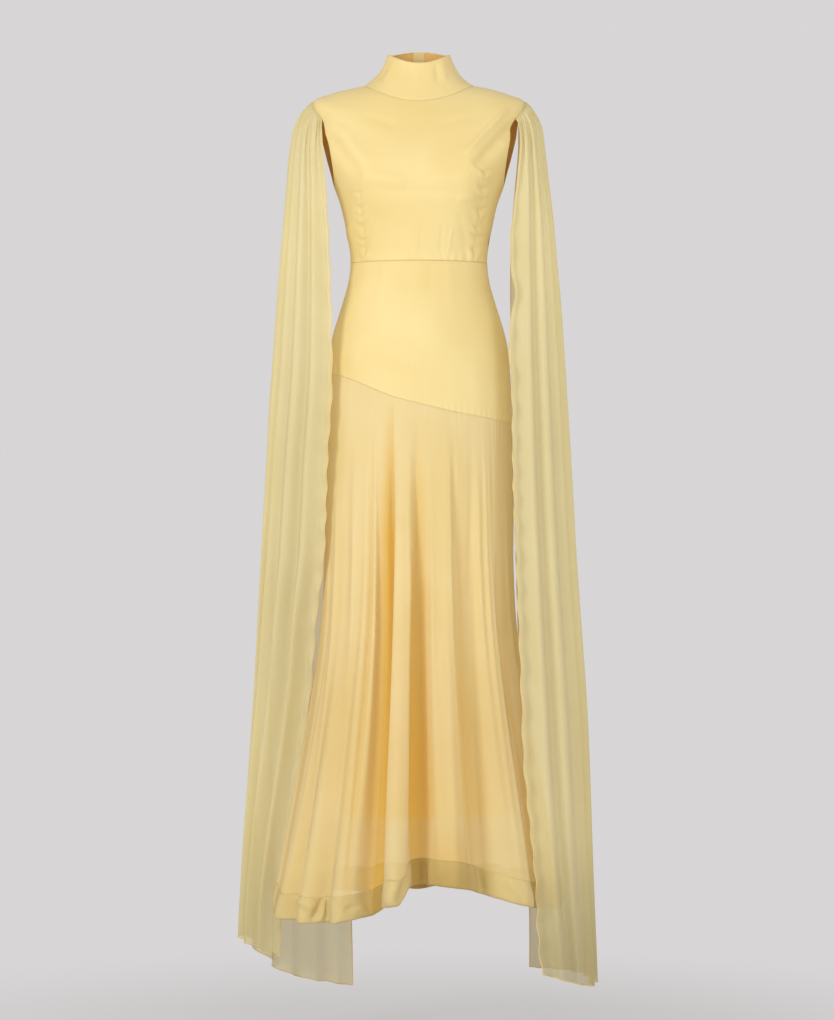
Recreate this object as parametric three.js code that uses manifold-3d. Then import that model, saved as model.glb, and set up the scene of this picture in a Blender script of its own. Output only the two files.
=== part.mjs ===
import * as THREE from 'three';
import { mergeVertices } from 'three/addons/utils/BufferGeometryUtils.js';
import Module from 'manifold-3d';

// A pale yellow evening dress in its worn, hollow shape: funnel collar, darted bodice, hip yoke,
// flared skirt over a lining, and two long cape sleeves. Millimetres, +Z up, the front towards -Y.
// The origin is the middle of the neck's base. Sides are the wearer's: left is +X.

// Cloth and seams
const SATIN_WALL = 1.5;
const CHIFFON_WALL = 1.2;
const LINING_WALL = 1.2;
const HEM_WALL = 2.2;
const SEAM_GAP = 0.3;

// Heights
const WAIST_Z = -317;
const ZIP_END_Z = -480;
const LINING_HEM_Z = -1284;
const HEM_BAND_DEPTH = 45;

// Grid steps
const HALF_COLUMNS = 20;
const SKIRT_COLUMNS = 40;
const SKIRT_ROWS = 7;
const YOKE_ROWS = 6;
const LINING_COLUMNS = 40;
const LINING_ROWS = 5;
const SLEEVE_COLUMNS = 45;

// Rings of the collar, top edge first: half width, reach to front and back, height at each side
const COLLAR_RINGS = [
  { half: 55, front: 50, back: 48, zFront: 33, zSide: 53, zBack: 65 },
  { half: 63, front: 53, back: 50, zFront: 17, zSide: 33, zBack: 51 },
  { half: 74, front: 57, back: 53, zFront: 0, zSide: 17, zBack: 37 },
  { half: 87, front: 62, back: 57, zFront: -18, zSide: 4, zBack: 23 },
  { half: 97, front: 68, back: 62, zFront: -36, zSide: -2, zBack: 10 },
];

// Rings of the bodice, neck seam first. armhole is how far, in degrees, the armhole's edge
// stands back from the side of the ring, and cup how far the bust stands out.
const BODICE_RINGS = [
  { half: 97, front: 68, back: 62, zFront: -36, zSide: -2, zBack: 10, armhole: 0, cup: 0 },
  { half: 130, front: 76, back: 76, zFront: -54, zSide: -9, zBack: -14, armhole: 0, cup: 0 },
  { half: 160, front: 84, back: 88, zFront: -73, zSide: -18, zBack: -40, armhole: 0, cup: 0 },
  { half: 185, front: 91, back: 97, zFront: -93, zSide: -29, zBack: -66, armhole: 0, cup: 0 },
  { half: 187, front: 98, back: 102, zFront: -113, zSide: -56, zBack: -92, armhole: 24.6, cup: 3 },
  { half: 184, front: 104, back: 105, zFront: -134, zSide: -87, zBack: -118, armhole: 27.6, cup: 8 },
  { half: 176, front: 108, back: 105, zFront: -154, zSide: -122, zBack: -142, armhole: 28, cup: 13 },
  { half: 160, front: 110, back: 103, zFront: -176, zSide: -162, zBack: -170, armhole: 20, cup: 15 },
  { half: 141, front: 108, back: 98, zFront: -205, zSide: -205, zBack: -205, armhole: 0, cup: 12 },
  { half: 130, front: 98, back: 90, zFront: -250, zSide: -250, zBack: -250, armhole: 0, cup: 4 },
  { half: 122, front: 91, back: 84, zFront: -294, zSide: -294, zBack: -294, armhole: 0, cup: 0 },
  { half: 121, front: 90, back: 82, zFront: -317, zSide: -317, zBack: -317, armhole: 0, cup: 0 },
];
const SHOULDER_RING = 3;
const UNDERARM_RING = 8;
const CUP_ANGLE = 38;
const CUP_SPREAD = 21;
const BACK_ARMHOLE = 0.72;

// Sections of yoke and skirt by height
const SKIRT_SECTIONS = [
  { z: -294, half: 122, front: 91, back: 84 },
  { z: -317, half: 121, front: 90, back: 82 },
  { z: -345, half: 124, front: 92, back: 86 },
  { z: -386, half: 136, front: 97, back: 95 },
  { z: -430, half: 149, front: 102, back: 106 },
  { z: -474, half: 158, front: 106, back: 118 },
  { z: -560, half: 164, front: 110, back: 127 },
  { z: -650, half: 165, front: 116, back: 132 },
  { z: -750, half: 167, front: 125, back: 140 },
  { z: -841, half: 167, front: 135, back: 148 },
  { z: -960, half: 173, front: 150, back: 160 },
  { z: -1080, half: 188, front: 166, back: 172 },
  { z: -1262, half: 218, front: 188, back: 188 },
  { z: -1432, half: 249, front: 208, back: 204 },
  { z: -1500, half: 260, front: 215, back: 210 },
];

// Height of the slanted seam under the yoke, by the share of the half width from right to left
const YOKE_SEAM = [
  { across: -1, z: -512 },
  { across: -0.8, z: -520 },
  { across: -0.3, z: -554 },
  { across: 0, z: -567 },
  { across: 0.3, z: -579 },
  { across: 0.62, z: -589 },
  { across: 1, z: -600 },
];

// Height of the hem by the angle round from the front, towards the wearer's left
const HEM = [
  { angle: -90, z: -1466 },
  { angle: -60, z: -1464 },
  { angle: -41, z: -1462 },
  { angle: -21, z: -1448 },
  { angle: -9, z: -1422 },
  { angle: 1, z: -1394 },
  { angle: 15, z: -1396 },
  { angle: 28, z: -1411 },
  { angle: 42, z: -1431 },
  { angle: 60, z: -1444 },
  { angle: 90, z: -1450 },
  { angle: 135, z: -1446 },
  { angle: 180, z: -1444 },
  { angle: 225, z: -1452 },
  { angle: 270, z: -1466 },
];

// Folds of the skirt: angle round, half width in degrees, depth at the hem, height of its start
const SKIRT_FOLDS = [
  { angle: -68, half: 9, depth: 14, start: -950 },
  { angle: -59, half: 7, depth: -10, start: -900 },
  { angle: -50, half: 9, depth: 17, start: -860 },
  { angle: -41, half: 7, depth: -12, start: -820 },
  { angle: -32, half: 8, depth: 18, start: -740 },
  { angle: -21, half: 8, depth: -28, start: -590 },
  { angle: -9.5, half: 7, depth: 34, start: -590 },
  { angle: 1.5, half: 7, depth: -34, start: -590 },
  { angle: 14, half: 9, depth: 22, start: -620 },
  { angle: 28, half: 9, depth: -28, start: -620 },
  { angle: 43, half: 11, depth: 28, start: -640 },
  { angle: 56, half: 8, depth: -13, start: -800 },
  { angle: 67, half: 9, depth: 15, start: -900 },
  { angle: 104, half: 10, depth: 14, start: -900 },
  { angle: 115, half: 8, depth: -16, start: -800 },
  { angle: 126, half: 10, depth: 22, start: -760 },
  { angle: 137, half: 8, depth: -18, start: -720 },
  { angle: 148, half: 10, depth: 26, start: -700 },
  { angle: 159, half: 8, depth: -24, start: -680 },
  { angle: 170, half: 9, depth: 24, start: -660 },
  { angle: 181, half: 8, depth: -26, start: -660 },
  { angle: 192, half: 10, depth: 27, start: -660 },
  { angle: 203, half: 8, depth: -22, start: -680 },
  { angle: 214, half: 9, depth: 23, start: -700 },
  { angle: 225, half: 8, depth: -18, start: -720 },
  { angle: 236, half: 10, depth: 20, start: -780 },
  { angle: 247, half: 8, depth: -13, start: -840 },
  { angle: 257, half: 9, depth: 13, start: -900 },
];
const FOLD_GROWTH = 1.25;
const FOLD_FULL_Z = -1450;

// The lining hangs plain inside the skirt: its clearance at the seam, and what it gains to its hem
const LINING_TOP_DROP = 3;
const LINING_INSET_GAIN = 44;

// Sections of the sleeves by height: front edge, outermost reach and back edge, out from the middle
const LEFT_SLEEVE = [
  { z: -28, frontX: 178, frontY: -42, outer: 204, backX: 178, backY: 42 },
  { z: -50, frontX: 178, frontY: -46, outer: 212, backX: 178, backY: 46 },
  { z: -72, frontX: 179, frontY: -49, outer: 217, backX: 178, backY: 50 },
  { z: -110, frontX: 178, frontY: -54, outer: 222, backX: 178, backY: 56 },
  { z: -185, frontX: 171, frontY: -62, outer: 232, backX: 172, backY: 66 },
  { z: -250, frontX: 163, frontY: -66, outer: 240, backX: 167, backY: 74 },
  { z: -306, frontX: 160, frontY: -68, outer: 245, backX: 165, backY: 79 },
  { z: -380, frontX: 167, frontY: -72, outer: 252, backX: 165, backY: 86 },
  { z: -450, frontX: 157, frontY: -76, outer: 257, backX: 166, backY: 92 },
  { z: -540, frontX: 162, frontY: -82, outer: 263, backX: 168, backY: 100 },
  { z: -700, frontX: 164, frontY: -90, outer: 273, backX: 172, backY: 114 },
  { z: -841, frontX: 169, frontY: -98, outer: 281, backX: 176, backY: 128 },
  { z: -1089, frontX: 178, frontY: -120, outer: 299, backX: 184, backY: 156 },
  { z: -1188, frontX: 181, frontY: -130, outer: 304, backX: 187, backY: 166 },
  { z: -1388, frontX: 200, frontY: -150, outer: 311, backX: 199, backY: 190 },
  { z: -1500, frontX: 206, frontY: -155, outer: 316, backX: 203, backY: 198 },
  { z: -1620, frontX: 222, frontY: -150, outer: 320, backX: 203, backY: 200 },
];
const RIGHT_SLEEVE = [
  { z: -28, frontX: 176, frontY: -42, outer: 204, backX: 176, backY: 42 },
  { z: -50, frontX: 175, frontY: -46, outer: 215, backX: 177, backY: 46 },
  { z: -72, frontX: 172, frontY: -49, outer: 220, backX: 177, backY: 50 },
  { z: -131, frontX: 168, frontY: -56, outer: 230, backX: 174, backY: 60 },
  { z: -195, frontX: 163, frontY: -60, outer: 236, backX: 170, backY: 66 },
  { z: -327, frontX: 156, frontY: -66, outer: 248, backX: 165, backY: 80 },
  { z: -487, frontX: 152, frontY: -72, outer: 260, backX: 161, backY: 96 },
  { z: -561, frontX: 153, frontY: -76, outer: 266, backX: 160, backY: 104 },
  { z: -646, frontX: 159, frontY: -74, outer: 271, backX: 158, backY: 114 },
  { z: -779, frontX: 164, frontY: -60, outer: 280, backX: 155, backY: 130 },
  { z: -841, frontX: 167, frontY: -46, outer: 284, backX: 153, backY: 140 },
  { z: -940, frontX: 181, frontY: -6, outer: 290, backX: 150, backY: 154 },
  { z: -1080, frontX: 194, frontY: 44, outer: 299, backX: 145, backY: 176 },
  { z: -1262, frontX: 221, frontY: 72, outer: 313, backX: 137, backY: 205 },
  { z: -1432, frontX: 247, frontY: 94, outer: 323, backX: 128, backY: 232 },
  { z: -1530, frontX: 251, frontY: 102, outer: 328, backX: 124, backY: 240 },
  { z: -1640, frontX: 251, frontY: 105, outer: 329, backX: 122, backY: 242 },
];

// Hems of the sleeves, from the front edge to the back edge
const LEFT_SLEEVE_HEM = [
  { share: 0, z: -1552 },
  { share: 0.3, z: -1582 },
  { share: 0.5, z: -1584 },
  { share: 0.75, z: -1588 },
  { share: 1, z: -1590 },
];
const RIGHT_SLEEVE_HEM = [
  { share: 0, z: -1556 },
  { share: 0.25, z: -1532 },
  { share: 0.45, z: -1526 },
  { share: 0.7, z: -1600 },
  { share: 1, z: -1630 },
];

// Folds of a sleeve: place from front edge to back edge and depth at the hem
const SLEEVE_FOLDS = [
  { share: 0.045, depth: 11 },
  { share: 0.155, depth: 15 },
  { share: 0.27, depth: 12 },
  { share: 0.38, depth: 17 },
  { share: 0.495, depth: 13 },
  { share: 0.61, depth: 16 },
  { share: 0.72, depth: 13 },
  { share: 0.835, depth: 16 },
  { share: 0.945, depth: 11 },
];
const SLEEVE_FOLD_HALF = 0.055;
const GATHER_DEPTH = 0.16;
const CAP_DROP = 60;
const CAP_SEAM = 0.4;
const CAP_LEAN = { out: 0.83, down: 0.55 };
// A sleeve is one sheet of cloth, but its solid is in four stretches, one above the other
const SLEEVE_STRETCHES = [
  { name: 'head', rows: [0, 0.005, 0.014, 0.028, 0.05, 0.09, 0.17] },
  { name: 'upper', rows: [0.17, 0.28, 0.4] },
  { name: 'middle', rows: [0.4, 0.5, 0.6, 0.7] },
  { name: 'lower', rows: [0.7, 0.8, 0.9, 1] },
];
const STRETCH_GAP_SHARE = 0.0006;

// Zip in the middle of the back
const ZIP_OPENING_HALF = 1.5;
const COIL_HALF = 1.15;
const COIL_PROUD = 0.5;
const TAPE_HALF = 10;
const TAPE_WALL = 0.8;
const TAPE_CLEARANCE = 0.45;
const SLIDER = { width: 6.4, height: 9, thick: 2, bridgeWidth: 1.6, bridgeWall: 0.8, top: 8 };
const BRIDGE_HOLE = { height: 1.8, length: 3.2 };
const TAB = { width: 5.2, length: 22, thick: 0.9, window: 2.8, windowLength: 4.2, bar: 0.9 };

// Colours
const SATIN = { color: 0xf2dd97, roughness: 0.5, metalness: 0 };
const CHIFFON = { color: 0xefdb9c, roughness: 0.75, metalness: 0 };
const LINING = { color: 0xf0d993, roughness: 0.7, metalness: 0 };
const TAPE = { color: 0xeed68f, roughness: 0.8, metalness: 0 };
const PAINTED_METAL = { color: 0xe8cf88, roughness: 0.4, metalness: 0.2 };

const STEP = 1e-4;
const DEGREE = Math.PI / 180;

const lerp = THREE.MathUtils.lerp;
const smooth = (from, to, value) => THREE.MathUtils.smoothstep(value, from, to);

// Reads every column of a table at a value of its key column, on a smooth curve through the rows
function rowAt(table, key, value) {
  const rising = table[table.length - 1][key] > table[0][key];
  const beyond = (row) => (rising ? row[key] > value : row[key] < value);
  const found = table.findIndex(beyond);
  const last = found === -1 ? table.length - 1 : Math.max(1, found);
  const [before, start, end, after] = [last - 2, last - 1, last, last + 1].map(
    (index) => table[THREE.MathUtils.clamp(index, 0, table.length - 1)]
  );
  const span = end[key] - start[key];
  const share = THREE.MathUtils.clamp((value - start[key]) / span, 0, 1);
  const slope = (low, high, column) => (high[column] - low[column]) / (high[key] - low[key]);
  const row = {};
  for (const column of Object.keys(start)) {
    const startSlope = slope(before, end, column) * span;
    const endSlope = slope(start, after, column) * span;
    const square = share * share;
    const cube = square * share;
    row[column] =
      (2 * cube - 3 * square + 1) * start[column] +
      (cube - 2 * square + share) * startSlope +
      (3 * square - 2 * cube) * end[column] +
      (cube - square) * endSlope;
  }
  return row;
}

// A point of a ring at an angle round from the front, in degrees
function ringPoint(ring, angle) {
  const side = Math.sin(angle * DEGREE);
  const ahead = Math.cos(angle * DEGREE);
  const reach = ahead > 0 ? ring.front : ring.back;
  const endZ = ahead > 0 ? ring.zFront : ring.zBack;
  const z = ring.zSide + (endZ - ring.zSide) * ahead * ahead;
  return new THREE.Vector3(ring.half * side, -reach * ahead, z);
}

const collarTable = COLLAR_RINGS.map((ring, index) => ({ ...ring, index }));
const bodiceTable = BODICE_RINGS.map((ring, index) => ({ ...ring, index }));

function collarPoint(angle, index) {
  return ringPoint(rowAt(collarTable, 'index', index), angle);
}

function bodicePoint(angle, index) {
  const ring = rowAt(bodiceTable, 'index', index);
  const point = ringPoint(ring, angle);
  const away = (Math.abs(angle) - CUP_ANGLE) / CUP_SPREAD;
  point.y -= ring.cup * Math.exp(-away * away);
  return point;
}

function seamZ(angle) {
  return rowAt(YOKE_SEAM, 'across', Math.sin(angle * DEGREE)).z;
}

function hemZ(angle) {
  return rowAt(HEM, 'angle', angle).z;
}

// How far the folds move the skirt in or out at an angle and a height
function foldDepth(angle, z) {
  let total = 0;
  for (const fold of SKIRT_FOLDS) {
    const away = Math.abs(angle - fold.angle) / fold.half;
    const fall = (fold.start - z) / (fold.start - FOLD_FULL_Z);
    if (away < 1 && fall > 0) {
      total += fold.depth * fall ** FOLD_GROWTH * 0.5 * (1 + Math.cos(Math.PI * away));
    }
  }
  return total;
}

function sectionPoint(angle, z, outward) {
  const section = rowAt(SKIRT_SECTIONS, 'z', z);
  const side = Math.sin(angle * DEGREE);
  const ahead = Math.cos(angle * DEGREE);
  const reach = lerp(section.back, section.front, smooth(-0.25, 0.25, ahead));
  const away = new THREE.Vector2(side / section.half, -ahead / reach).normalize();
  return new THREE.Vector3(
    section.half * side + away.x * outward,
    -reach * ahead + away.y * outward,
    z
  );
}

function skirtPoint(angle, z) {
  return sectionPoint(angle, z, foldDepth(angle, z));
}

// The unit normal of a surface given as a function of two shares, pointing away from the body
function normalAt(surface, u, v) {
  const along = surface(Math.min(u + STEP, 1), v).sub(surface(Math.max(u - STEP, 0), v));
  const down = surface(u, Math.min(v + STEP, 1)).sub(surface(u, Math.max(v - STEP, 0)));
  return down.cross(along).normalize();
}

// A cloth wall: the outer points of the surface, the same points moved in, and rims between.
// Columns run towards the wearer's left round the front, and rows run down.
function wallGeometry(surface, columns, rows, thickness, closed = false) {
  const points = [];
  for (const depth of [0, thickness]) {
    for (const v of rows) {
      for (const u of columns) {
        points.push(surface(u, v).addScaledVector(normalAt(surface, u, v), -depth));
      }
    }
  }
  const width = columns.length;
  const height = rows.length;
  const steps = closed ? width : width - 1;
  const at = (column, row, layer) => (layer * height + row) * width + (column % width);
  const faces = [];
  const quad = (a, b, c, d) => faces.push(a, b, c, a, c, d);
  for (let column = 0; column < steps; column += 1) {
    for (let row = 0; row < height - 1; row += 1) {
      const [left, right, below] = [column, column + 1, row + 1];
      quad(at(left, row, 0), at(left, below, 0), at(right, below, 0), at(right, row, 0));
      quad(at(left, row, 1), at(right, row, 1), at(right, below, 1), at(left, below, 1));
    }
    const bottom = height - 1;
    quad(at(column, 0, 1), at(column, 0, 0), at(column + 1, 0, 0), at(column + 1, 0, 1));
    quad(
      at(column, bottom, 0), at(column, bottom, 1),
      at(column + 1, bottom, 1), at(column + 1, bottom, 0)
    );
  }
  for (let row = 0; row < height - 1 && !closed; row += 1) {
    const end = width - 1;
    quad(at(0, row, 1), at(0, row + 1, 1), at(0, row + 1, 0), at(0, row, 0));
    quad(at(end, row, 0), at(end, row + 1, 0), at(end, row + 1, 1), at(end, row, 1));
  }
  const geometry = new THREE.BufferGeometry();
  geometry.setAttribute('position', new THREE.Float32BufferAttribute(points.flatMap((p) => p.toArray()), 3));
  geometry.setIndex(faces);
  geometry.computeVertexNormals();
  return geometry;
}

const shares = (count) => Array.from({ length: count + 1 }, (_, index) => index / count);

function clothMesh(name, geometry, look) {
  const mesh = new THREE.Mesh(geometry, new THREE.MeshStandardMaterial({ ...look, side: THREE.FrontSide }));
  mesh.name = name;
  return mesh;
}

const dress = new THREE.Group();
const sideGap = (reach) => SEAM_GAP / 2 / reach / DEGREE;
const zipGap = (half) => ZIP_OPENING_HALF / half / DEGREE;

// Collar: one ring, open at the zip
const COLLAR_ROWS = 4;
const collarEnd = COLLAR_RINGS.length - 1 - 0.012;
const collarSurface = (u, v) => {
  const index = v * collarEnd;
  const gap = zipGap(rowAt(collarTable, 'index', index).half);
  return collarPoint(lerp(-180 + gap, 180 - gap, u), index);
};
dress.add(clothMesh(
  'collar',
  wallGeometry(collarSurface, shares(HALF_COLUMNS * 2), shares(COLLAR_ROWS), SATIN_WALL),
  SATIN
));

// Bodice: a front cut on the fold and two backs, all with their armholes
const bodiceStart = 0.012;
const bodiceLast = BODICE_RINGS.length - 1 - 0.008;
const bodiceIndex = (v) => lerp(bodiceStart, bodiceLast, v);
const bodiceRows = [
  0, 0.9, 1.9, 3, 3.25, 3.5, 3.75, 4, 4.5, 5, 5.6, 6.3, 7, 7.6, 8, 8.6, 9.3, 10, 11,
].map((index) => THREE.MathUtils.clamp((index - bodiceStart) / (bodiceLast - bodiceStart), 0, 1));

// The angle of the armhole's edge on the front, and on the back, at a ring
function armholeAngle(index, share) {
  const inside = index > SHOULDER_RING && index < UNDERARM_RING;
  return inside ? Math.max(0, rowAt(bodiceTable, 'index', index).armhole) * share : 0;
}

const bodiceFrontSurface = (u, v) => {
  const index = bodiceIndex(v);
  const gap = sideGap(rowAt(bodiceTable, 'index', index).front);
  const edge = 90 - gap - armholeAngle(index, 1);
  return bodicePoint(lerp(-edge, edge, u), index);
};
dress.add(clothMesh(
  'bodice_front',
  wallGeometry(bodiceFrontSurface, shares(HALF_COLUMNS), bodiceRows, SATIN_WALL),
  SATIN
));

const bodiceBackSurface = (u, v) => {
  const index = bodiceIndex(v);
  const ring = rowAt(bodiceTable, 'index', index);
  const edge = 90 + sideGap(ring.back) + armholeAngle(index, BACK_ARMHOLE);
  return bodicePoint(lerp(edge, 180 - zipGap(ring.half), u), index);
};

// The mirror image of a left-hand surface, with its columns still running the same way round
const mirrored = (surface) => (u, v) => {
  const point = surface(1 - u, v);
  return new THREE.Vector3(-point.x, point.y, point.z);
};

for (const [name, surface] of [
  ['bodice_back_left', bodiceBackSurface],
  ['bodice_back_right', mirrored(bodiceBackSurface)],
]) {
  dress.add(clothMesh(
    name,
    wallGeometry(surface, shares(HALF_COLUMNS / 2), bodiceRows, SATIN_WALL),
    SATIN
  ));
}

// Yoke: waist seam to the slanted seam
const yokePoint = (angle, v) => {
  const z = lerp(WAIST_Z - SEAM_GAP / 2, seamZ(angle) + SEAM_GAP / 2, v);
  return sectionPoint(angle, z, 0);
};
const yokeParts = [
  { name: 'yoke_front', from: -90, to: 90, columns: HALF_COLUMNS },
  { name: 'yoke_back_left', from: 90, to: 180, columns: HALF_COLUMNS / 2 },
  { name: 'yoke_back_right', from: 180, to: 270, columns: HALF_COLUMNS / 2 },
];
for (const part of yokeParts) {
  const surface = (u, v) => {
    const section = rowAt(SKIRT_SECTIONS, 'z', lerp(WAIST_Z, seamZ(part.from), v));
    const gapAt = (angle) => (angle === 180 ? zipGap(section.half) : sideGap(section.front));
    return yokePoint(lerp(part.from + gapAt(part.from), part.to - gapAt(part.to), u), v);
  };
  dress.add(clothMesh(
    part.name,
    wallGeometry(surface, shares(part.columns), shares(YOKE_ROWS), SATIN_WALL),
    SATIN
  ));
}

// Skirt and its hem band: a front and a back, from the slanted seam to the hem
const skirtParts = [
  { name: 'front', from: -90, to: 90 },
  { name: 'back', from: 90, to: 270 },
];
for (const part of skirtParts) {
  const angleAt = (u, z) => {
    const gap = sideGap(rowAt(SKIRT_SECTIONS, 'z', z).front);
    return lerp(part.from + gap, part.to - gap, u);
  };
  const skirtSurface = (u, v) => {
    const angle = lerp(part.from, part.to, u);
    const z = lerp(seamZ(angle) - SEAM_GAP / 2, hemZ(angle) + HEM_BAND_DEPTH + SEAM_GAP / 2, v);
    return skirtPoint(angleAt(u, z), z);
  };
  const bandSurface = (u, v) => {
    const angle = lerp(part.from, part.to, u);
    const top = hemZ(angle) + HEM_BAND_DEPTH - SEAM_GAP;
    const z = lerp(top, hemZ(angle), v);
    return skirtPoint(angleAt(u, z), z);
  };
  const columns = shares(SKIRT_COLUMNS);
  dress.add(clothMesh(
    `skirt_${part.name}`,
    wallGeometry(skirtSurface, columns, shares(SKIRT_ROWS), CHIFFON_WALL),
    CHIFFON
  ));
  dress.add(clothMesh(
    `hem_band_${part.name}`,
    wallGeometry(bandSurface, columns, shares(2), HEM_WALL),
    CHIFFON
  ));
}

// Lining: a plain tube inside the skirt, sewn in at the slanted seam
const liningSurface = (u, v) => {
  const angle = lerp(-90, 270, u);
  const z = lerp(seamZ(angle) - LINING_TOP_DROP, LINING_HEM_Z, v);
  const inset = CHIFFON_WALL + SEAM_GAP + LINING_INSET_GAIN * v;
  return sectionPoint(angle, z, -inset);
};
dress.add(clothMesh(
  'skirt_lining',
  wallGeometry(
    liningSurface,
    shares(LINING_COLUMNS).slice(0, -1),
    shares(LINING_ROWS),
    LINING_WALL,
    true
  ),
  LINING
));

// Sleeves: open sheets gathered along the top of the armhole, from its front over the shoulder
function capPoint(share) {
  const back = share > 0.5;
  const fall = Math.abs(share - 0.5) * 2;
  const index = SHOULDER_RING + fall;
  const edge = armholeAngle(index, back ? BACK_ARMHOLE : 1);
  const point = bodicePoint(back ? 90 + edge : 90 - edge, index);
  point.x += CAP_SEAM * CAP_LEAN.out;
  point.z -= CAP_SEAM * CAP_LEAN.down;
  return point;
}

function sleeveFold(share) {
  let total = 0;
  for (const fold of SLEEVE_FOLDS) {
    const away = Math.abs(share - fold.share) / SLEEVE_FOLD_HALF;
    if (away < 1) {
      total += fold.depth * 0.5 * (1 + Math.cos(Math.PI * away));
    }
  }
  return total;
}

// A left-hand sleeve: share 0 is the front edge and 1 the back edge. It leaves the armhole
// level and bends down like a quarter circle, so that its head stands out past the shoulder.
function sleevePoint(table, hem, share, fall) {
  const cap = capPoint(share);
  const z = lerp(cap.z, rowAt(hem, 'share', share).z, fall);
  const row = rowAt(table, 'z', z);
  const turn = share * Math.PI;
  const middleX = (row.frontX + row.backX) / 2;
  const middleY = (row.frontY + row.backY) / 2;
  const bulge = Math.sqrt((row.outer - middleX) ** 2 - (row.frontX - middleX) ** 2);
  const x = middleX + (row.frontX - middleX) * Math.cos(turn) + bulge * Math.sin(turn);
  const y = middleY + (row.frontY - middleY) * Math.cos(turn);
  const short = Math.max(0, 1 - (cap.z - z) / CAP_DROP);
  const hung = Math.sqrt(1 - short * short);
  const spread = lerp(GATHER_DEPTH, 1, Math.sqrt(fall)) * smooth(0, CAP_DROP / 2, cap.z - z);
  const away = new THREE.Vector2(x - middleX, y - middleY).normalize();
  const fold = -sleeveFold(share) * spread;
  return new THREE.Vector3(
    lerp(cap.x, x + away.x * fold, hung),
    lerp(cap.y, y + away.y * fold, hung),
    z
  );
}

const leftSleeve = (u, v) => sleevePoint(LEFT_SLEEVE, LEFT_SLEEVE_HEM, u, v);
const rightSleeve = mirrored((u, v) => sleevePoint(RIGHT_SLEEVE, RIGHT_SLEEVE_HEM, u, v));
for (const [side, surface] of [['left', leftSleeve], ['right', rightSleeve]]) {
  for (const stretch of SLEEVE_STRETCHES) {
    const rows = stretch.rows.map((row, index) => (
      index === stretch.rows.length - 1 && row < 1 ? row - STRETCH_GAP_SHARE : row
    ));
    dress.add(clothMesh(
      `sleeve_${side}_${stretch.name}`,
      wallGeometry(surface, shares(SLEEVE_COLUMNS), rows, CHIFFON_WALL),
      CHIFFON
    ));
  }
}

// Zip: a tape behind the opening with the closed coil standing in it, on the walls' own rows
const backStations = [];
for (const v of shares(COLLAR_ROWS).slice(0, -1)) {
  const surface = (u, w) => collarPoint(lerp(90, 270, u), w * collarEnd);
  const { half, back } = rowAt(collarTable, 'index', v * collarEnd);
  backStations.push({ point: surface(0.5, v), normal: normalAt(surface, 0.5, v), half, back });
}
for (const v of bodiceRows) {
  const surface = (u, w) => bodicePoint(lerp(90, 270, u), bodiceIndex(w));
  const { half, back } = rowAt(bodiceTable, 'index', bodiceIndex(v));
  backStations.push({ point: surface(0.5, v), normal: normalAt(surface, 0.5, v), half, back });
}
for (const v of shares(YOKE_ROWS).slice(1)) {
  const surface = (u, w) => yokePoint(lerp(90, 270, u), w);
  const point = surface(0.5, v);
  const { half, back } = rowAt(SKIRT_SECTIONS, 'z', point.z);
  if (point.z > ZIP_END_Z) {
    backStations.push({ point, normal: normalAt(surface, 0.5, v), half, back });
  }
}

function zipGeometry() {
  const tapeTop = -SATIN_WALL - TAPE_CLEARANCE;
  const points = [];
  for (const station of backStations) {
    const drop = station.back * (1 - Math.sqrt(1 - (TAPE_HALF / station.half) ** 2));
    const section = [
      [COIL_HALF, COIL_PROUD], [-COIL_HALF, COIL_PROUD],
      [-COIL_HALF, tapeTop], [-TAPE_HALF, tapeTop - drop],
      [-TAPE_HALF, tapeTop - TAPE_WALL - drop], [-COIL_HALF, tapeTop - TAPE_WALL],
      [COIL_HALF, tapeTop - TAPE_WALL], [TAPE_HALF, tapeTop - TAPE_WALL - drop],
      [TAPE_HALF, tapeTop - drop], [COIL_HALF, tapeTop],
    ];
    for (const [across, out] of section) {
      points.push(new THREE.Vector3(across, 0, 0).add(station.point).addScaledVector(station.normal, out));
    }
  }
  const size = 10;
  const faces = [];
  for (let row = 0; row < backStations.length - 1; row += 1) {
    for (let side = 0; side < size; side += 1) {
      const a = row * size + side;
      const b = row * size + ((side + 1) % size);
      faces.push(a, b + size, b, a, a + size, b + size);
    }
  }
  const first = [[0, 9, 2], [0, 2, 1], [2, 9, 6], [2, 6, 5], [3, 2, 5], [3, 5, 4], [9, 8, 7], [9, 7, 6]];
  const base = (backStations.length - 1) * size;
  for (const [a, b, c] of first) {
    faces.push(a, c, b, base + a, base + b, base + c);
  }
  const geometry = new THREE.BufferGeometry();
  geometry.setAttribute('position', new THREE.Float32BufferAttribute(points.flatMap((p) => p.toArray()), 3));
  geometry.setIndex(faces);
  geometry.computeVertexNormals();
  return geometry;
}
dress.add(clothMesh('back_zip', zipGeometry(), TAPE));

// Slider and pull tab, in a frame that stands on the coil just under the collar's top edge
const wasm = await Module();
wasm.setup();

function toManifold(geometry) {
  const bare = geometry.index ? geometry.toNonIndexed() : geometry.clone();
  bare.deleteAttribute('normal');
  bare.deleteAttribute('uv');
  const merged = mergeVertices(bare, 1e-4);
  return new wasm.Manifold(new wasm.Mesh({
    numProp: 3,
    vertProperties: new Float32Array(merged.attributes.position.array),
    triVerts: new Uint32Array(merged.index.array),
  }));
}

function fromManifold(solid) {
  const mesh = solid.getMesh();
  const geometry = new THREE.BufferGeometry();
  geometry.setAttribute('position', new THREE.BufferAttribute(new Float32Array(mesh.vertProperties), 3));
  geometry.setIndex(Array.from(mesh.triVerts));
  geometry.computeVertexNormals();
  return geometry;
}

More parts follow.
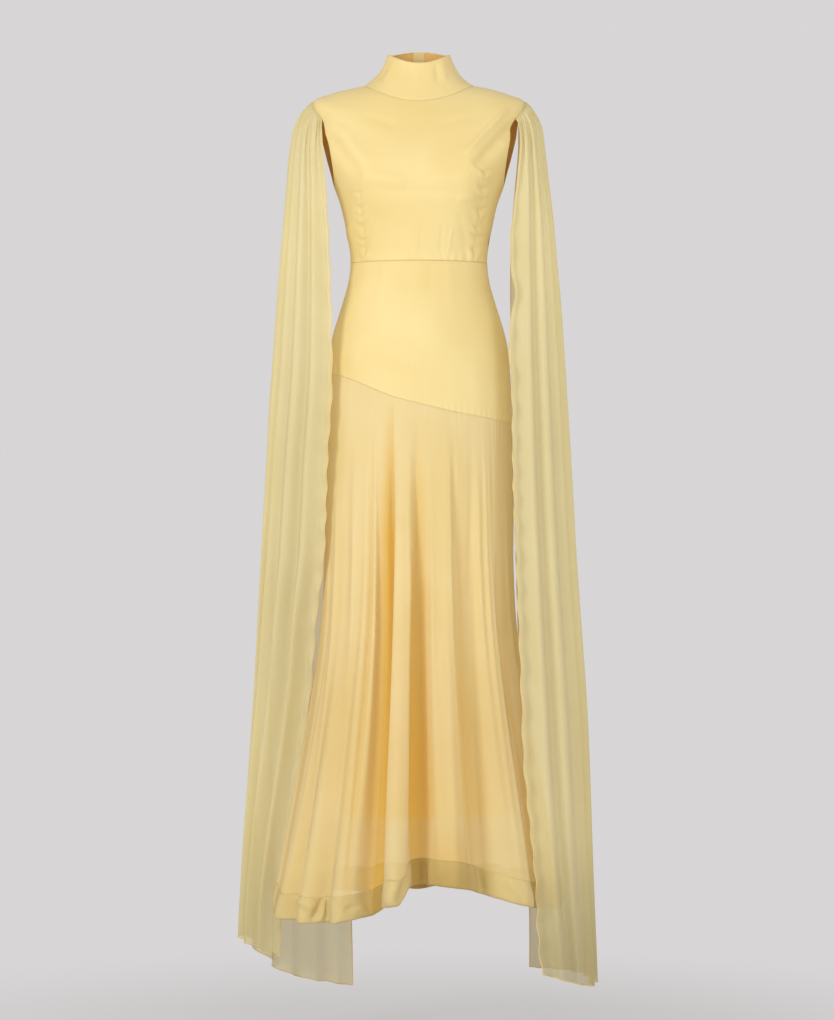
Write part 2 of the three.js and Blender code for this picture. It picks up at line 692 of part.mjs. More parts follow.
const [topStation, nextStation] = backStations;
const upward = topStation.point.clone().sub(nextStation.point).normalize();
const outward = new THREE.Vector3(-1, 0, 0).cross(upward).normalize();
const onCoil = new THREE.Matrix4()
  .makeBasis(new THREE.Vector3(-1, 0, 0), upward, outward)
  .setPosition(
    topStation.point.clone()
      .addScaledVector(upward, -SLIDER.top)
      .addScaledVector(outward, COIL_PROUD + SEAM_GAP)
  );

function sliderGeometry() {
  const body = new THREE.BoxGeometry(SLIDER.width, SLIDER.height, SLIDER.thick);
  body.translate(0, 0, SLIDER.thick / 2);
  const outline = new THREE.Shape();
  const reach = BRIDGE_HOLE.length / 2 + SLIDER.bridgeWall;
  const base = SLIDER.thick - SLIDER.bridgeWall;
  const crown = SLIDER.thick + BRIDGE_HOLE.height + SLIDER.bridgeWall;
  outline.moveTo(-reach, base);
  outline.lineTo(reach, base);
  outline.lineTo(reach, crown - SLIDER.bridgeWall);
  outline.lineTo(reach - SLIDER.bridgeWall, crown);
  outline.lineTo(-reach + SLIDER.bridgeWall, crown);
  outline.lineTo(-reach, crown - SLIDER.bridgeWall);
  const hole = new THREE.Path();
  hole.moveTo(-BRIDGE_HOLE.length / 2, SLIDER.thick);
  hole.lineTo(-BRIDGE_HOLE.length / 2, SLIDER.thick + BRIDGE_HOLE.height);
  hole.lineTo(BRIDGE_HOLE.length / 2, SLIDER.thick + BRIDGE_HOLE.height);
  hole.lineTo(BRIDGE_HOLE.length / 2, SLIDER.thick);
  outline.holes.push(hole);
  const bridge = new THREE.ExtrudeGeometry(outline, { depth: SLIDER.bridgeWidth, bevelEnabled: false });
  bridge.translate(0, 0, -SLIDER.bridgeWidth / 2);
  bridge.applyMatrix4(new THREE.Matrix4().makeBasis(
    new THREE.Vector3(0, 1, 0), new THREE.Vector3(0, 0, 1), new THREE.Vector3(1, 0, 0)
  ));
  return fromManifold(toManifold(body).add(toManifold(bridge)));
}

function tabGeometry() {
  const half = TAB.width / 2;
  const top = TAB.bar / 2;
  const shoulder = TAB.length - half;
  const outline = new THREE.Shape();
  outline.moveTo(half, top);
  outline.lineTo(-half, top);
  outline.lineTo(-half, -shoulder);
  outline.absarc(0, -shoulder, half, Math.PI, Math.PI * 2, false);
  outline.lineTo(half, top);
  const hole = new THREE.Path();
  hole.moveTo(-TAB.window / 2, -top);
  hole.lineTo(TAB.window / 2, -top);
  hole.lineTo(TAB.window / 2, -top - TAB.windowLength);
  hole.lineTo(-TAB.window / 2, -top - TAB.windowLength);
  outline.holes.push(hole);
  const plate = new THREE.ExtrudeGeometry(outline, { depth: TAB.thick, bevelEnabled: false, curveSegments: 6 });
  plate.translate(0, 0, SLIDER.thick + BRIDGE_HOLE.height / 2 - TAB.thick / 2);
  return plate;
}

for (const [name, geometry] of [['zip_slider', sliderGeometry()], ['zip_pull_tab', tabGeometry()]]) {
  dress.add(clothMesh(name, geometry.applyMatrix4(onCoil), PAINTED_METAL));
}

export default dress;
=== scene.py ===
import math
import bmesh
import bpy
import numpy as np
from mathutils import Matrix, Vector


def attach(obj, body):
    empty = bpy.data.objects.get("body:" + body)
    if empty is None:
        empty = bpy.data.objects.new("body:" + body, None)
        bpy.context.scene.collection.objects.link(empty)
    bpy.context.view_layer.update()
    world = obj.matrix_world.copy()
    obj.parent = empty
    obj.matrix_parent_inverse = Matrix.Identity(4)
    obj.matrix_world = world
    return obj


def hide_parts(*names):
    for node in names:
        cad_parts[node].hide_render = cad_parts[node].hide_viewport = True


# Pale yellow evening dress with cape sleeves: the fine cloth, its sewing and its finish.
# Values are in metres and tables in millimetres. Sides are the wearer's: left is +X, and the
# front faces -Y.
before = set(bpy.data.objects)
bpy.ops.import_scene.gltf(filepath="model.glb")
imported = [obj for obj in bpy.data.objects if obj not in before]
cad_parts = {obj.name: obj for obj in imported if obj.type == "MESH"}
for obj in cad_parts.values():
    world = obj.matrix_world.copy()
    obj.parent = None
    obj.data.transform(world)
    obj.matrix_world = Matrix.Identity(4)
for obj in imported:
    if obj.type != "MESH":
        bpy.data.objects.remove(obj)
scene = bpy.context.scene
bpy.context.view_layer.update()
print("frame loaded")


# A table's columns by name: lengths, given in millimetres, and what is named as plain
def columns(names, rows, plain=""):
    table = zip(names.split(), np.array(rows, float).T)
    return {name: values if name in plain.split() else values / 1000 for name, values in table}


# Rings of the collar, top edge first
collarRings = columns("index half front back zFront zSide zBack", [
    (0, 55, 50, 48, 33, 53, 65),
    (1, 63, 53, 50, 17, 33, 51),
    (2, 74, 57, 53, 0, 17, 37),
    (3, 87, 62, 57, -18, 4, 23),
    (4, 97, 68, 62, -36, -2, 10),
], "index")

# Rings of the bodice, neck seam first; armhole is in degrees back from the side
bodiceRings = columns("index half front back zFront zSide zBack armhole cup", [
    (0, 97, 68, 62, -36, -2, 10, 0, 0),
    (1, 130, 76, 76, -54, -9, -14, 0, 0),
    (2, 160, 84, 88, -73, -18, -40, 0, 0),
    (3, 185, 91, 97, -93, -29, -66, 0, 0),
    (4, 187, 98, 102, -113, -56, -92, 24.6, 3),
    (5, 184, 104, 105, -134, -87, -118, 27.6, 8),
    (6, 176, 108, 105, -154, -122, -142, 28, 13),
    (7, 160, 110, 103, -176, -162, -170, 20, 15),
    (8, 141, 108, 98, -205, -205, -205, 0, 12),
    (9, 130, 98, 90, -250, -250, -250, 0, 4),
    (10, 122, 91, 84, -294, -294, -294, 0, 0),
    (11, 121, 90, 82, -317, -317, -317, 0, 0),
], "index armhole")
shoulderRing = 3
underarmRing = 8
waistRing = 11
cupAngle = 38
cupSpread = 21
backArmhole = 0.72
waistZ = -0.317

# Sections of yoke and skirt by height
skirtSections = columns("z half front back", [
    (-294, 122, 91, 84), (-317, 121, 90, 82), (-345, 124, 92, 86), (-386, 136, 97, 95),
    (-430, 149, 102, 106), (-474, 158, 106, 118), (-560, 164, 110, 127), (-650, 165, 116, 132),
    (-750, 167, 125, 140), (-841, 167, 135, 148), (-960, 173, 150, 160), (-1080, 188, 166, 172),
    (-1262, 218, 188, 188), (-1432, 249, 208, 204), (-1500, 260, 215, 210),
])
yokeSeam = columns("across z", [
    (-1, -512), (-0.8, -520), (-0.3, -554), (0, -567), (0.3, -579), (0.62, -589), (1, -600),
], "across")
hemLine = columns("angle z", [
    (-90, -1466), (-60, -1464), (-41, -1462), (-21, -1448), (-14, -1430), (-10, -1425), (-7, -1422),
    (-4, -1400), (1, -1394), (15, -1396), (28, -1411), (42, -1431), (60, -1444), (90, -1450),
    (135, -1446), (180, -1444), (225, -1452), (270, -1466),
], "angle")
hemBandDepth = 0.045
liningHemZ = -1.284

# Folds of the skirt: angle, half width in degrees, depth at the hem, height of the start
skirtFolds = [
    (-68, 9, 14, -950), (-59, 7, -10, -900), (-50, 9, 17, -860), (-41, 7, -12, -820),
    (-32, 8, 18, -740), (-21, 8, -28, -590), (-9.5, 7, 34, -590), (1.5, 7, -34, -590),
    (14, 9, 22, -620), (28, 9, -28, -620), (43, 11, 28, -640), (56, 8, -13, -800), (67, 9, 15, -900),
    (104, 10, 14, -900), (115, 8, -16, -800), (126, 10, 22, -760), (137, 8, -18, -720),
    (148, 10, 26, -700), (159, 8, -24, -680), (170, 9, 24, -660), (181, 8, -26, -660),
    (192, 10, 27, -660), (203, 8, -22, -680), (214, 9, 23, -700), (225, 8, -18, -720),
    (236, 10, 20, -780), (247, 8, -13, -840), (257, 9, 13, -900),
]
foldGrowth = 1.25
foldFullZ = -1.450

# Sections of the sleeves by height, out from the middle
leftSleeveRows = columns("z frontX frontY outer backX backY", [
    (-28, 178, -42, 204, 178, 42), (-50, 178, -46, 212, 178, 46), (-72, 179, -49, 217, 178, 50),
    (-110, 178, -54, 222, 178, 56), (-185, 171, -62, 232, 172, 66), (-250, 163, -66, 240, 167, 74),
    (-306, 160, -68, 245, 165, 79), (-380, 167, -72, 252, 165, 86), (-450, 157, -76, 257, 166, 92),
    (-540, 162, -82, 263, 168, 100), (-700, 164, -90, 273, 172, 114), (-841, 169, -98, 281, 176, 128),
    (-1089, 178, -120, 299, 184, 156), (-1188, 181, -130, 304, 187, 166),
    (-1388, 200, -150, 311, 199, 190), (-1500, 206, -155, 316, 203, 198),
    (-1620, 222, -150, 320, 203, 200),
])
rightSleeveRows = columns("z frontX frontY outer backX backY", [
    (-28, 176, -42, 204, 176, 42), (-50, 175, -46, 215, 177, 46), (-72, 172, -49, 220, 177, 50),
    (-131, 168, -56, 230, 174, 60), (-195, 163, -60, 236, 170, 66), (-327, 156, -66, 248, 165, 80),
    (-487, 152, -72, 260, 161, 96), (-561, 153, -76, 266, 160, 104), (-646, 159, -74, 271, 158, 114),
    (-779, 164, -60, 280, 155, 130), (-841, 167, -46, 284, 153, 140), (-940, 181, -6, 290, 150, 154),
    (-1080, 194, 44, 299, 145, 176), (-1262, 221, 72, 313, 137, 205), (-1432, 247, 94, 323, 128, 232),
    (-1530, 251, 102, 328, 124, 240), (-1640, 251, 105, 329, 122, 242),
])
leftSleeveHem = columns("share z", [
    (0, -1552), (0.3, -1582), (0.5, -1584), (0.75, -1588), (1, -1590),
], "share")
rightSleeveHem = columns("share z", [
    (0, -1556), (0.25, -1532), (0.45, -1526), (0.7, -1600), (1, -1630),
], "share")
sleeveFolds = [
    (0.045, 0.011), (0.155, 0.015), (0.27, 0.012), (0.38, 0.017), (0.495, 0.013),
    (0.61, 0.016), (0.72, 0.013), (0.835, 0.016), (0.945, 0.011),
]
sleeveFoldMost = 0.017
leftSleeveEase = columns("z x", [
    (-28, 178), (-185, 171), (-306, 166), (-450, 163), (-700, 165), (-841, 169), (-1089, 178),
    (-1188, 182), (-1388, 198), (-1620, 219),
])
sleeveFoldHalf = 0.055
gatherDepth = 0.16
capDrop = 0.060
capSeam = 0.0004
capLean = {"out": 0.83, "down": 0.55}


# Reads every column of a table at values of its key column, on a smooth curve through the rows
def readAt(table, key, value):
    turn = 1 if table[key][-1] > table[key][0] else -1
    keys = turn * table[key]
    at = turn * np.asarray(value, float)
    end = np.clip(np.searchsorted(keys, at, side="right"), 1, len(keys) - 1)
    start = end - 1
    before = np.maximum(end - 2, 0)
    after = np.minimum(end + 1, len(keys) - 1)
    span = keys[end] - keys[start]
    share = np.clip((at - keys[start]) / span, 0, 1)
    row = {}
    for name, values in table.items():
        startSlope = (values[end] - values[before]) / (keys[end] - keys[before]) * span
        endSlope = (values[after] - values[start]) / (keys[after] - keys[start]) * span
        row[name] = (
            (2 * share**3 - 3 * share**2 + 1) * values[start]
            + (share**3 - 2 * share**2 + share) * startSlope
            + (3 * share**2 - 2 * share**3) * values[end] + (share**3 - share**2) * endSlope
        )
    return row


def smooth(low, high, value):
    share = np.clip((value - low) / (high - low), 0, 1)
    return share * share * (3 - 2 * share)


def bell(value, width):
    return np.exp(-((value / width) ** 2))


def blend(a, b, share):
    return a + (b - a) * share


def points(x, y, z):
    return np.stack(np.broadcast_arrays(x, y, z), axis=-1)


def ringPoint(ring, angle):
    side = np.sin(np.radians(angle))
    ahead = np.cos(np.radians(angle))
    reach = np.where(ahead > 0, ring["front"], ring["back"])
    endZ = np.where(ahead > 0, ring["zFront"], ring["zBack"])
    return points(ring["half"] * side, -reach * ahead, ring["zSide"] + (endZ - ring["zSide"]) * ahead**2)


def collarPoint(angle, index):
    return ringPoint(readAt(collarRings, "index", index), angle)


def bodicePoint(angle, index):
    ring = readAt(bodiceRings, "index", index)
    spot = ringPoint(ring, angle)
    spot[..., 1] -= ring["cup"] * bell(np.abs(angle) - cupAngle, cupSpread)
    return spot


def seamZ(angle):
    return readAt(yokeSeam, "across", np.sin(np.radians(angle)))["z"]


def hemZ(angle):
    return readAt(hemLine, "angle", angle)["z"]


def foldDepth(angle, z):
    total = np.zeros(np.broadcast(angle, z).shape)
    for at, half, depth, start in skirtFolds:
        away = np.minimum(np.abs(angle - at) / half, 1)
        start = start / 1000
        fall = np.maximum((start - z) / (start - foldFullZ), 0)
        total += depth / 1000 * fall**foldGrowth * 0.5 * (1 + np.cos(np.pi * away))
    return total


def sectionPoint(angle, z, outward):
    section = readAt(skirtSections, "z", z)
    side = np.sin(np.radians(angle))
    ahead = np.cos(np.radians(angle))
    reach = blend(section["back"], section["front"], smooth(-0.25, 0.25, ahead))
    awayX = side / section["half"]
    awayY = -ahead / reach
    length = np.hypot(awayX, awayY)
    return points(
        section["half"] * side + awayX / length * outward, -reach * ahead + awayY / length * outward, z
    )


def skirtPoint(angle, z):
    return sectionPoint(angle, z, foldDepth(angle, z))


def armholeAngle(index, share):
    inside = (index > shoulderRing) & (index < underarmRing)
    return np.where(inside, np.maximum(readAt(bodiceRings, "index", index)["armhole"], 0) * share, 0)


def capPoint(share):
    index = shoulderRing + np.abs(share - 0.5) * 2
    front = bodicePoint(90 - armholeAngle(index, 1), index)
    back = bodicePoint(90 + armholeAngle(index, backArmhole), index)
    spot = np.where((share > 0.5)[..., None], back, front)
    spot[..., 0] += capSeam * capLean["out"]
    spot[..., 2] -= capSeam * capLean["down"]
    return spot


def sleeveFold(share):
    total = np.zeros_like(share)
    for at, depth in sleeveFolds:
        away = np.minimum(np.abs(share - at) / sleeveFoldHalf, 1)
        total += depth * 0.5 * (1 + np.cos(np.pi * away))
    return total


def sleevePoint(rows, hem, share, fall, ease=None):
    cap = capPoint(share)
    z = blend(cap[..., 2], readAt(hem, "share", share)["z"], fall)
    row = readAt(rows, "z", z)
    if ease:
        row["frontX"] = blend(readAt(ease, "z", z)["x"], row["frontX"], bell(share, 0.07))
    turn = share * np.pi
    middleX = (row["frontX"] + row["backX"]) / 2
    middleY = (row["frontY"] + row["backY"]) / 2
    bulge = np.sqrt((row["outer"] - middleX) ** 2 - (row["frontX"] - middleX) ** 2)
    x = middleX + (row["frontX"] - middleX) * np.cos(turn) + bulge * np.sin(turn)
    y = middleY + (row["frontY"] - middleY) * np.cos(turn)
    dropped = cap[..., 2] - z
    hung = np.sqrt(1 - np.maximum(0, 1 - dropped / capDrop) ** 2)
    spread = blend(gatherDepth, 1, np.sqrt(fall)) * smooth(0, capDrop / 2, dropped)
    length = np.hypot(x - middleX, y - middleY)
    fold = -sleeveFold(share) * spread
    return points(
        blend(cap[..., 0], x + (x - middleX) / length * fold, hung),
        blend(cap[..., 1], y + (y - middleY) / length * fold, hung),
        z,
    )


# Sums soft creases laid on a surface: each runs from one place to another and dies out at its ends.
# A row is in millimetres: from x and z, to x and z, width, depth
def creases(rows, across, down):
    total = np.zeros(np.broadcast(across, down).shape)
    for fromX, fromZ, toX, toZ, width, depth in np.array(rows) / 1000:
        runX, runZ = toX - fromX, toZ - fromZ
        along = ((across - fromX) * runX + (down - fromZ) * runZ) / (runX**2 + runZ**2)
        near = np.clip(along, 0, 1)
        apart = (across - fromX - near * runX) ** 2 + (down - fromZ - near * runZ) ** 2
        total += depth * np.exp(-apart / width**2) * (1 - (2 * near - 1) ** 4)
    return total


# A gentle unevenness that repeats exactly: a few waves of unlike lengths
def unevenness(across, down, length):
    total = 0
    for turn, (tilt, stretch, weight) in enumerate([(0.3, 1.0, 0.5), (1.9, 0.61, 0.3), (2.7, 0.37, 0.2)]):
        run = across * math.cos(tilt) + down * math.sin(tilt) * 0.35
        phase = 1.7 * turn + 2 * np.sin(down * 3.1)
        total = total + weight * np.sin(2 * math.pi * run / (length * stretch) + phase)
    return total


# Points of a surface, moved out along its normal by its relief
def shaped(surface, relief, u, v):
    step = 0.0004
    spots = surface(u, v)
    along = surface(np.minimum(u + step, 1), v) - surface(np.maximum(u - step, 0), v)
    down = surface(u, np.minimum(v + step, 1)) - surface(u, np.maximum(v - step, 0))
    normal = np.cross(down, along)
    normal /= np.linalg.norm(normal, axis=-1, keepdims=True)
    return spots + normal * (relief(u, v, spots)[..., None] if relief else 0)


# A round bead along a line of points given by a share from 0 to 1
def beadSurface(line, radius):
    def surface(u, v):
        middle = line(v)
        tangent = line(np.minimum(v + 0.002, 1)) - line(np.maximum(v - 0.002, 0))
        tangent /= np.linalg.norm(tangent, axis=-1, keepdims=True)
        across = np.cross(tangent, np.array([0.31, 0.87, 0.38]))
        across /= np.linalg.norm(across, axis=-1, keepdims=True)
        turn = (2 * np.pi * u)[..., None]
        return middle + radius * (np.cos(turn) * across + np.sin(turn) * np.cross(tangent, across))
    return surface


def meshFrom(bm, name):
    mesh = bpy.data.meshes.new(name)
    bm.to_mesh(mesh)
    bm.free()
    return mesh


def addObject(name, data):
    thing = bpy.data.objects.new(name, data)
    scene.collection.objects.link(thing)
    return thing


# Cloth from a grid whose points are laid on a surface and moved out by its relief
def makeCloth(name, surface, cells, thickness, flat, relief=None, paintedShade=None, sheer=None):
    bm = bmesh.new()
    bmesh.ops.create_grid(bm, x_segments=cells[0], y_segments=cells[1], size=0.5)
    uvLayer = bm.loops.layers.uv.new("cloth")
    for face in bm.faces:
        for loop in face.loops:
            loop[uvLayer].uv = ((loop.vert.co.x + 0.5) * flat[0], (loop.vert.co.y + 0.5) * flat[1])
    mesh = meshFrom(bm, name)
    co = np.empty(len(mesh.vertices) * 3)
    mesh.vertices.foreach_get("co", co)
    u = co[0::3] + 0.5
    v = 0.5 - co[1::3]
    spots = shaped(surface, relief, u, v)
    mesh.vertices.foreach_set("co", spots.ravel())
    for title, given in (("paintedShade", paintedShade), ("sheer", sheer)):
        layer = mesh.attributes.new(title, "FLOAT", "POINT")
        layer.data.foreach_set("value", np.clip(given(u, v, spots), 0, 1) if given else np.zeros(len(u)))
    mesh.polygons.foreach_set("use_smooth", np.ones(len(mesh.polygons), bool))
    mesh.update()
    piece = addObject(name, mesh)
    if thickness:
        wall = piece.modifiers.new("wall", "SOLIDIFY")
        wall.thickness = thickness
        wall.offset = -1
    print(name, "area", round(sum(face.area for face in mesh.polygons), 3))
    return piece


# Materials
def nodeTree(material):
    material.use_nodes = True
    material.node_tree.nodes.clear()
    return material.node_tree


# A node with its settings; each of its sockets takes a fixed value or another node's socket
def addNode(tree, kind, values=None, **settings):
    node = tree.nodes.new("ShaderNode" + kind)
    for name, value in settings.items():
        setattr(node, name, value)
    for name, value in (values or {}).items():
        if isinstance(value, bpy.types.NodeSocket):
            tree.links.new(value, node.inputs[name])
        else:
            node.inputs[name].default_value = value
    return node


def mathNode(tree, operation, first, second):
    return addNode(tree, "Math", {0: first, 1: second}, operation=operation).outputs[0]


# Carries a value from one range, usually 0 to 1, over to another
def ranged(tree, value, low, high, start=0.0, end=1.0, **settings):
    limits = {"Value": value, "From Min": start, "From Max": end, "To Min": low, "To Max": high}
    return addNode(tree, "MapRange", limits, **settings).outputs["Result"]


# One colour running into another by a factor
def blended(tree, factor, first, second):
    node = addNode(tree, "Mix", {"Factor": factor, "A": first, "B": second}, data_type="RGBA")
    return node.outputs["Result"]


# A group that takes a vector and some plain values
def newGroup(name, values, outputs):
    group = bpy.data.node_groups.new(name, "ShaderNodeTree")
    group.interface.new_socket("Vector", in_out="INPUT", socket_type="NodeSocketVector")
    for title, value in values.items():
        socket = group.interface.new_socket(title, in_out="INPUT", socket_type="NodeSocketFloat")
        socket.default_value = value
    for title in outputs:
        group.interface.new_socket(title, in_out="OUTPUT", socket_type="NodeSocketFloat")
    return group, group.nodes.new("NodeGroupInput"), group.nodes.new("NodeGroupOutput")


# Crossing threads: warp and weft waves on the cloth's own coordinates
def weaveGroup():
    group, given, result = newGroup("threads", {"Threads": 900.0}, ["Height", "Cover"])
    wave = {
        "Vector": given.outputs["Vector"], "Scale": given.outputs["Threads"],
        "Distortion": 1.2, "Detail": 1.0, "Detail Scale": 0.6,
    }
    warp, weft = [
        addNode(group, "TexWave", wave, wave_type="BANDS", bands_direction=direction).outputs["Fac"]
        for direction in ("X", "Y")
    ]
    group.links.new(mathNode(group, "MULTIPLY", warp, weft), result.inputs["Height"])
    group.links.new(mathNode(group, "MAXIMUM", warp, weft), result.inputs["Cover"])
    return group


# Slow, uneven change of tone over the cloth, and long fine crinkles that run down it
def driftGroup():
    group, given, result = newGroup("drift", {"Scale": 6.0, "Lengthen": 6.0}, ["Tone", "Crinkle"])
    place = given.outputs["Vector"]
    slow = addNode(group, "TexNoise", {"Vector": place, "Scale": given.outputs["Scale"], "Detail": 2.0})
    parts = addNode(group, "SeparateXYZ", {0: place})
    longer = mathNode(group, "DIVIDE", parts.outputs["Y"], given.outputs["Lengthen"])
    joined = addNode(group, "CombineXYZ", {"X": parts.outputs["X"], "Y": longer})
    fine = addNode(group, "TexNoise", {"Vector": joined.outputs[0], "Scale": 160.0, "Detail": 3.0})
    group.links.new(slow.outputs["Fac"], result.inputs["Tone"])
    group.links.new(fine.outputs["Fac"], result.inputs["Crinkle"])
    return group


threads = weaveGroup()
drift = driftGroup()

# Painted shade: each look's third colour is mixed into its base colour by a per-point attribute where folds,
# sides and hems lie in shade
satinLook = {
    "light": (0.93, 0.755, 0.34, 1), "shade": (0.88, 0.69, 0.275, 1), "paintedShadeColour": (0.80, 0.50, 0.10, 1),
    "threads": 1400.0, "weaveHeight": 0.00005, "crinkleHeight": 0.00012, "roughness": (0.38, 0.5),
    "sheen": 0.25, "through": 0.12, "cover": None,
}
chiffonLook = {
    "light": (0.98, 0.81, 0.41, 1), "shade": (0.94, 0.76, 0.34, 1), "paintedShadeColour": (0.88, 0.56, 0.10, 1),
    "threads": 900.0, "weaveHeight": 0.00008, "crinkleHeight": 0.00018, "roughness": (0.6, 0.75),
    "sheen": 0.35, "through": 0.25, "cover": (0.76, 0.97),
}
# The sleeves' shade colour is much darker: painted shade towards their hems
sleeveLook = dict(
    chiffonLook, light=(0.90, 0.80, 0.44, 1), shade=(0.86, 0.76, 0.39, 1), paintedShadeColour=(0.54, 0.45, 0.21, 1),
    cover=(0.74, 0.93),
)
# The hem band is the same chiffon in darker colours: painted shade at the hem, with a deeper painted shade
# for its hollows
bandShadedLook = dict(
    chiffonLook, light=(0.88, 0.725, 0.34, 1), shade=(0.84, 0.675, 0.29, 1), paintedShadeColour=(0.62, 0.42, 0.10, 1),
    cover=(0.86, 0.97),
)
beadLook = dict(
    bandShadedLook, light=(0.88, 0.70, 0.32, 1), shade=(0.82, 0.62, 0.24, 1), threads=500.0, cover=None,
    through=0.15,
)
# The satin's inner faces get a warmer, deeper copy with more light through it: painted shade for the inside
# of the collar and armholes
insideShadedLook = dict(satinLook, light=(0.98, 0.75, 0.32, 1), shade=(0.95, 0.68, 0.26, 1), through=0.5)
liningLook = dict(
    satinLook, light=(0.91, 0.71, 0.31, 1), roughness=(0.5, 0.62), crinkleHeight=0.0002, through=0.25,
)
tapeLook = dict(
    satinLook, light=(0.86, 0.70, 0.33, 1), threads=700.0, weaveHeight=0.00015, roughness=(0.7, 0.8),
    sheen=0.1, through=0.05,
)


def clothMaterial(name, look):
    material = bpy.data.materials.new(name)
    tree = nodeTree(material)
    uv = addNode(tree, "UVMap", uv_map="cloth").outputs["UV"]
    weave = addNode(tree, "Group", {"Vector": uv, "Threads": look["threads"]}, node_tree=threads)
    tones = addNode(tree, "Group", {"Vector": uv, "Scale": 5.0, "Lengthen": 9.0}, node_tree=drift)
    clearer = ranged(tree, tones.outputs["Tone"], 0.0, 1.0, 0.3, 0.6)
    shades = blended(tree, clearer, look["shade"], look["light"])
    # Painted shade: a per-point attribute darkens the base colour towards the look's shade colour
    paintedShade = addNode(tree, "Attribute", attribute_name="paintedShade")
    colour = blended(tree, paintedShade.outputs["Fac"], shades, look["paintedShadeColour"])
    cover = weave.outputs["Cover"]
    crinkle = addNode(tree, "Bump", {"Distance": look["crinkleHeight"], "Height": tones.outputs["Crinkle"]})
    normal = addNode(tree, "Bump", {
        "Distance": look["weaveHeight"], "Height": weave.outputs["Height"], "Normal": crinkle.outputs[0],
    }).outputs[0]
    body = addNode(tree, "BsdfPrincipled", {
        "Base Color": colour, "Roughness": ranged(tree, cover, *look["roughness"]), "Normal": normal,
        "Specular IOR Level": 0.35, "Sheen Weight": look["sheen"], "Sheen Roughness": 0.4,
        "Sheen Tint": (1.0, 0.93, 0.75, 1),
    })
    glow = addNode(tree, "BsdfTranslucent", {"Color": colour, "Normal": normal})
    surface = addNode(tree, "MixShader", {"Fac": look["through"], 1: body.outputs[0], 2: glow.outputs[0]})
    if look["cover"]:
        sheer = addNode(tree, "Attribute", attribute_name="sheer")
        clearness = ranged(tree, sheer.outputs["Fac"], 1 - look["cover"][1], 1 - look["cover"][0])
        gaps = mathNode(tree, "MULTIPLY", clearness, ranged(tree, cover, 1.3, 0.75))
        clear = addNode(tree, "BsdfTransparent").outputs[0]
        filled = mathNode(tree, "SUBTRACT", 1.0, gaps)
        surface = addNode(tree, "MixShader", {"Fac": filled, 1: clear, 2: surface.outputs[0]})
    addNode(tree, "OutputMaterial", {"Surface": surface.outputs[0]})
    return material


satin = clothMaterial("satin", satinLook)
chiffon = clothMaterial("chiffon", chiffonLook)
sleeveChiffon = clothMaterial("sleeveChiffon", sleeveLook)
bandChiffon = clothMaterial("bandChiffon", bandShadedLook)
liningCloth = clothMaterial("liningCloth", liningLook)
satinInsideShaded = clothMaterial("satinInsideShaded", insideShadedLook)
beadChiffon = clothMaterial("beadChiffon", beadLook)
tapeCloth = clothMaterial("tapeCloth", tapeLook)


# Enamel dyed to match the cloth, with soft wear in its tone
def enamelMaterial(name, look):
    material = bpy.data.materials.new(name)
    tree = nodeTree(material)
    place = addNode(tree, "TexCoord").outputs["Object"]
    noise = addNode(tree, "TexNoise", {"Vector": place, "Scale": look["scale"], "Detail": 3.0})
    noise = noise.outputs["Fac"]
    body = addNode(tree, "BsdfPrincipled", {
        "Base Color": blended(tree, noise, look["shade"], look["light"]),
        "Roughness": ranged(tree, noise, *look["roughness"]),
        "Metallic": look["metallic"], "Coat Weight": look["coat"], "Coat Roughness": 0.25,
    })
    addNode(tree, "OutputMaterial", {"Surface": body.outputs[0]})
    return material


enamelLook = {
    "light": (0.82, 0.64, 0.24, 1), "shade": (0.74, 0.55, 0.18, 1), "scale": 320.0, "roughness": (0.3, 0.45),
    "metallic": 0.15, "coat": 0.5,
}
coilLook = dict(enamelLook, light=(0.84, 0.66, 0.27, 1), shade=(0.78, 0.6, 0.22, 1), metallic=0.0, coat=0.15)
enamel = enamelMaterial("enamel", enamelLook)
coilNylon = enamelMaterial("coilNylon", coilLook)
print("materials made")


# A piece that goes with a sheet: sewing, beads or teeth
def trim(piece, material):
    piece.data.materials.append(material)
    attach(piece, "dress")
    return piece


# What every sheet is given: its look and its body, and the solids that it stands for are hidden
def finish(piece, material, nodes):
    piece.data.materials.append(material)
    # The satin's inner faces take its deeper, warmer copy: painted shade
    if material == satin:
        piece.data.materials.append(satinInsideShaded)
        piece.modifiers["wall"].material_offset = 1
    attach(piece, "dress")
    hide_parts(*nodes)


# Length run at each point of a line, and the point at a length
def lengthsAlong(line):
    return np.concatenate([[0], np.cumsum(np.linalg.norm(np.diff(line, axis=0), axis=1))])


def spotAt(length, along, line):
    return Vector([float(np.interp(length, along, line[:, axis])) for axis in range(3)])


stitchEnds = (0.14, 0.86)


# Stitches: small rounded bars laid end to end along lines of points
def makeStitches(name, lines, pitch, size):
    bm = bmesh.new()
    for line in lines:
        along = lengthsAlong(line)
        for number in range(int(along[-1] / pitch)):
            ends = [spotAt((number + share) * pitch, along, line) for share in stitchEnds]
            run = ends[1] - ends[0]
            turn = run.to_track_quat("X", "Z").to_matrix().to_4x4()
            scale = Matrix.Diagonal((run.length / 2, size, size, 1))
            place = Matrix.Translation((ends[0] + ends[1]) / 2) @ turn @ scale
            bmesh.ops.create_icosphere(bm, subdivisions=1, radius=1, matrix=place)
    mesh = meshFrom(bm, name)
    mesh.polygons.foreach_set("use_smooth", np.ones(len(mesh.polygons), bool))
    return addObject(name, mesh)


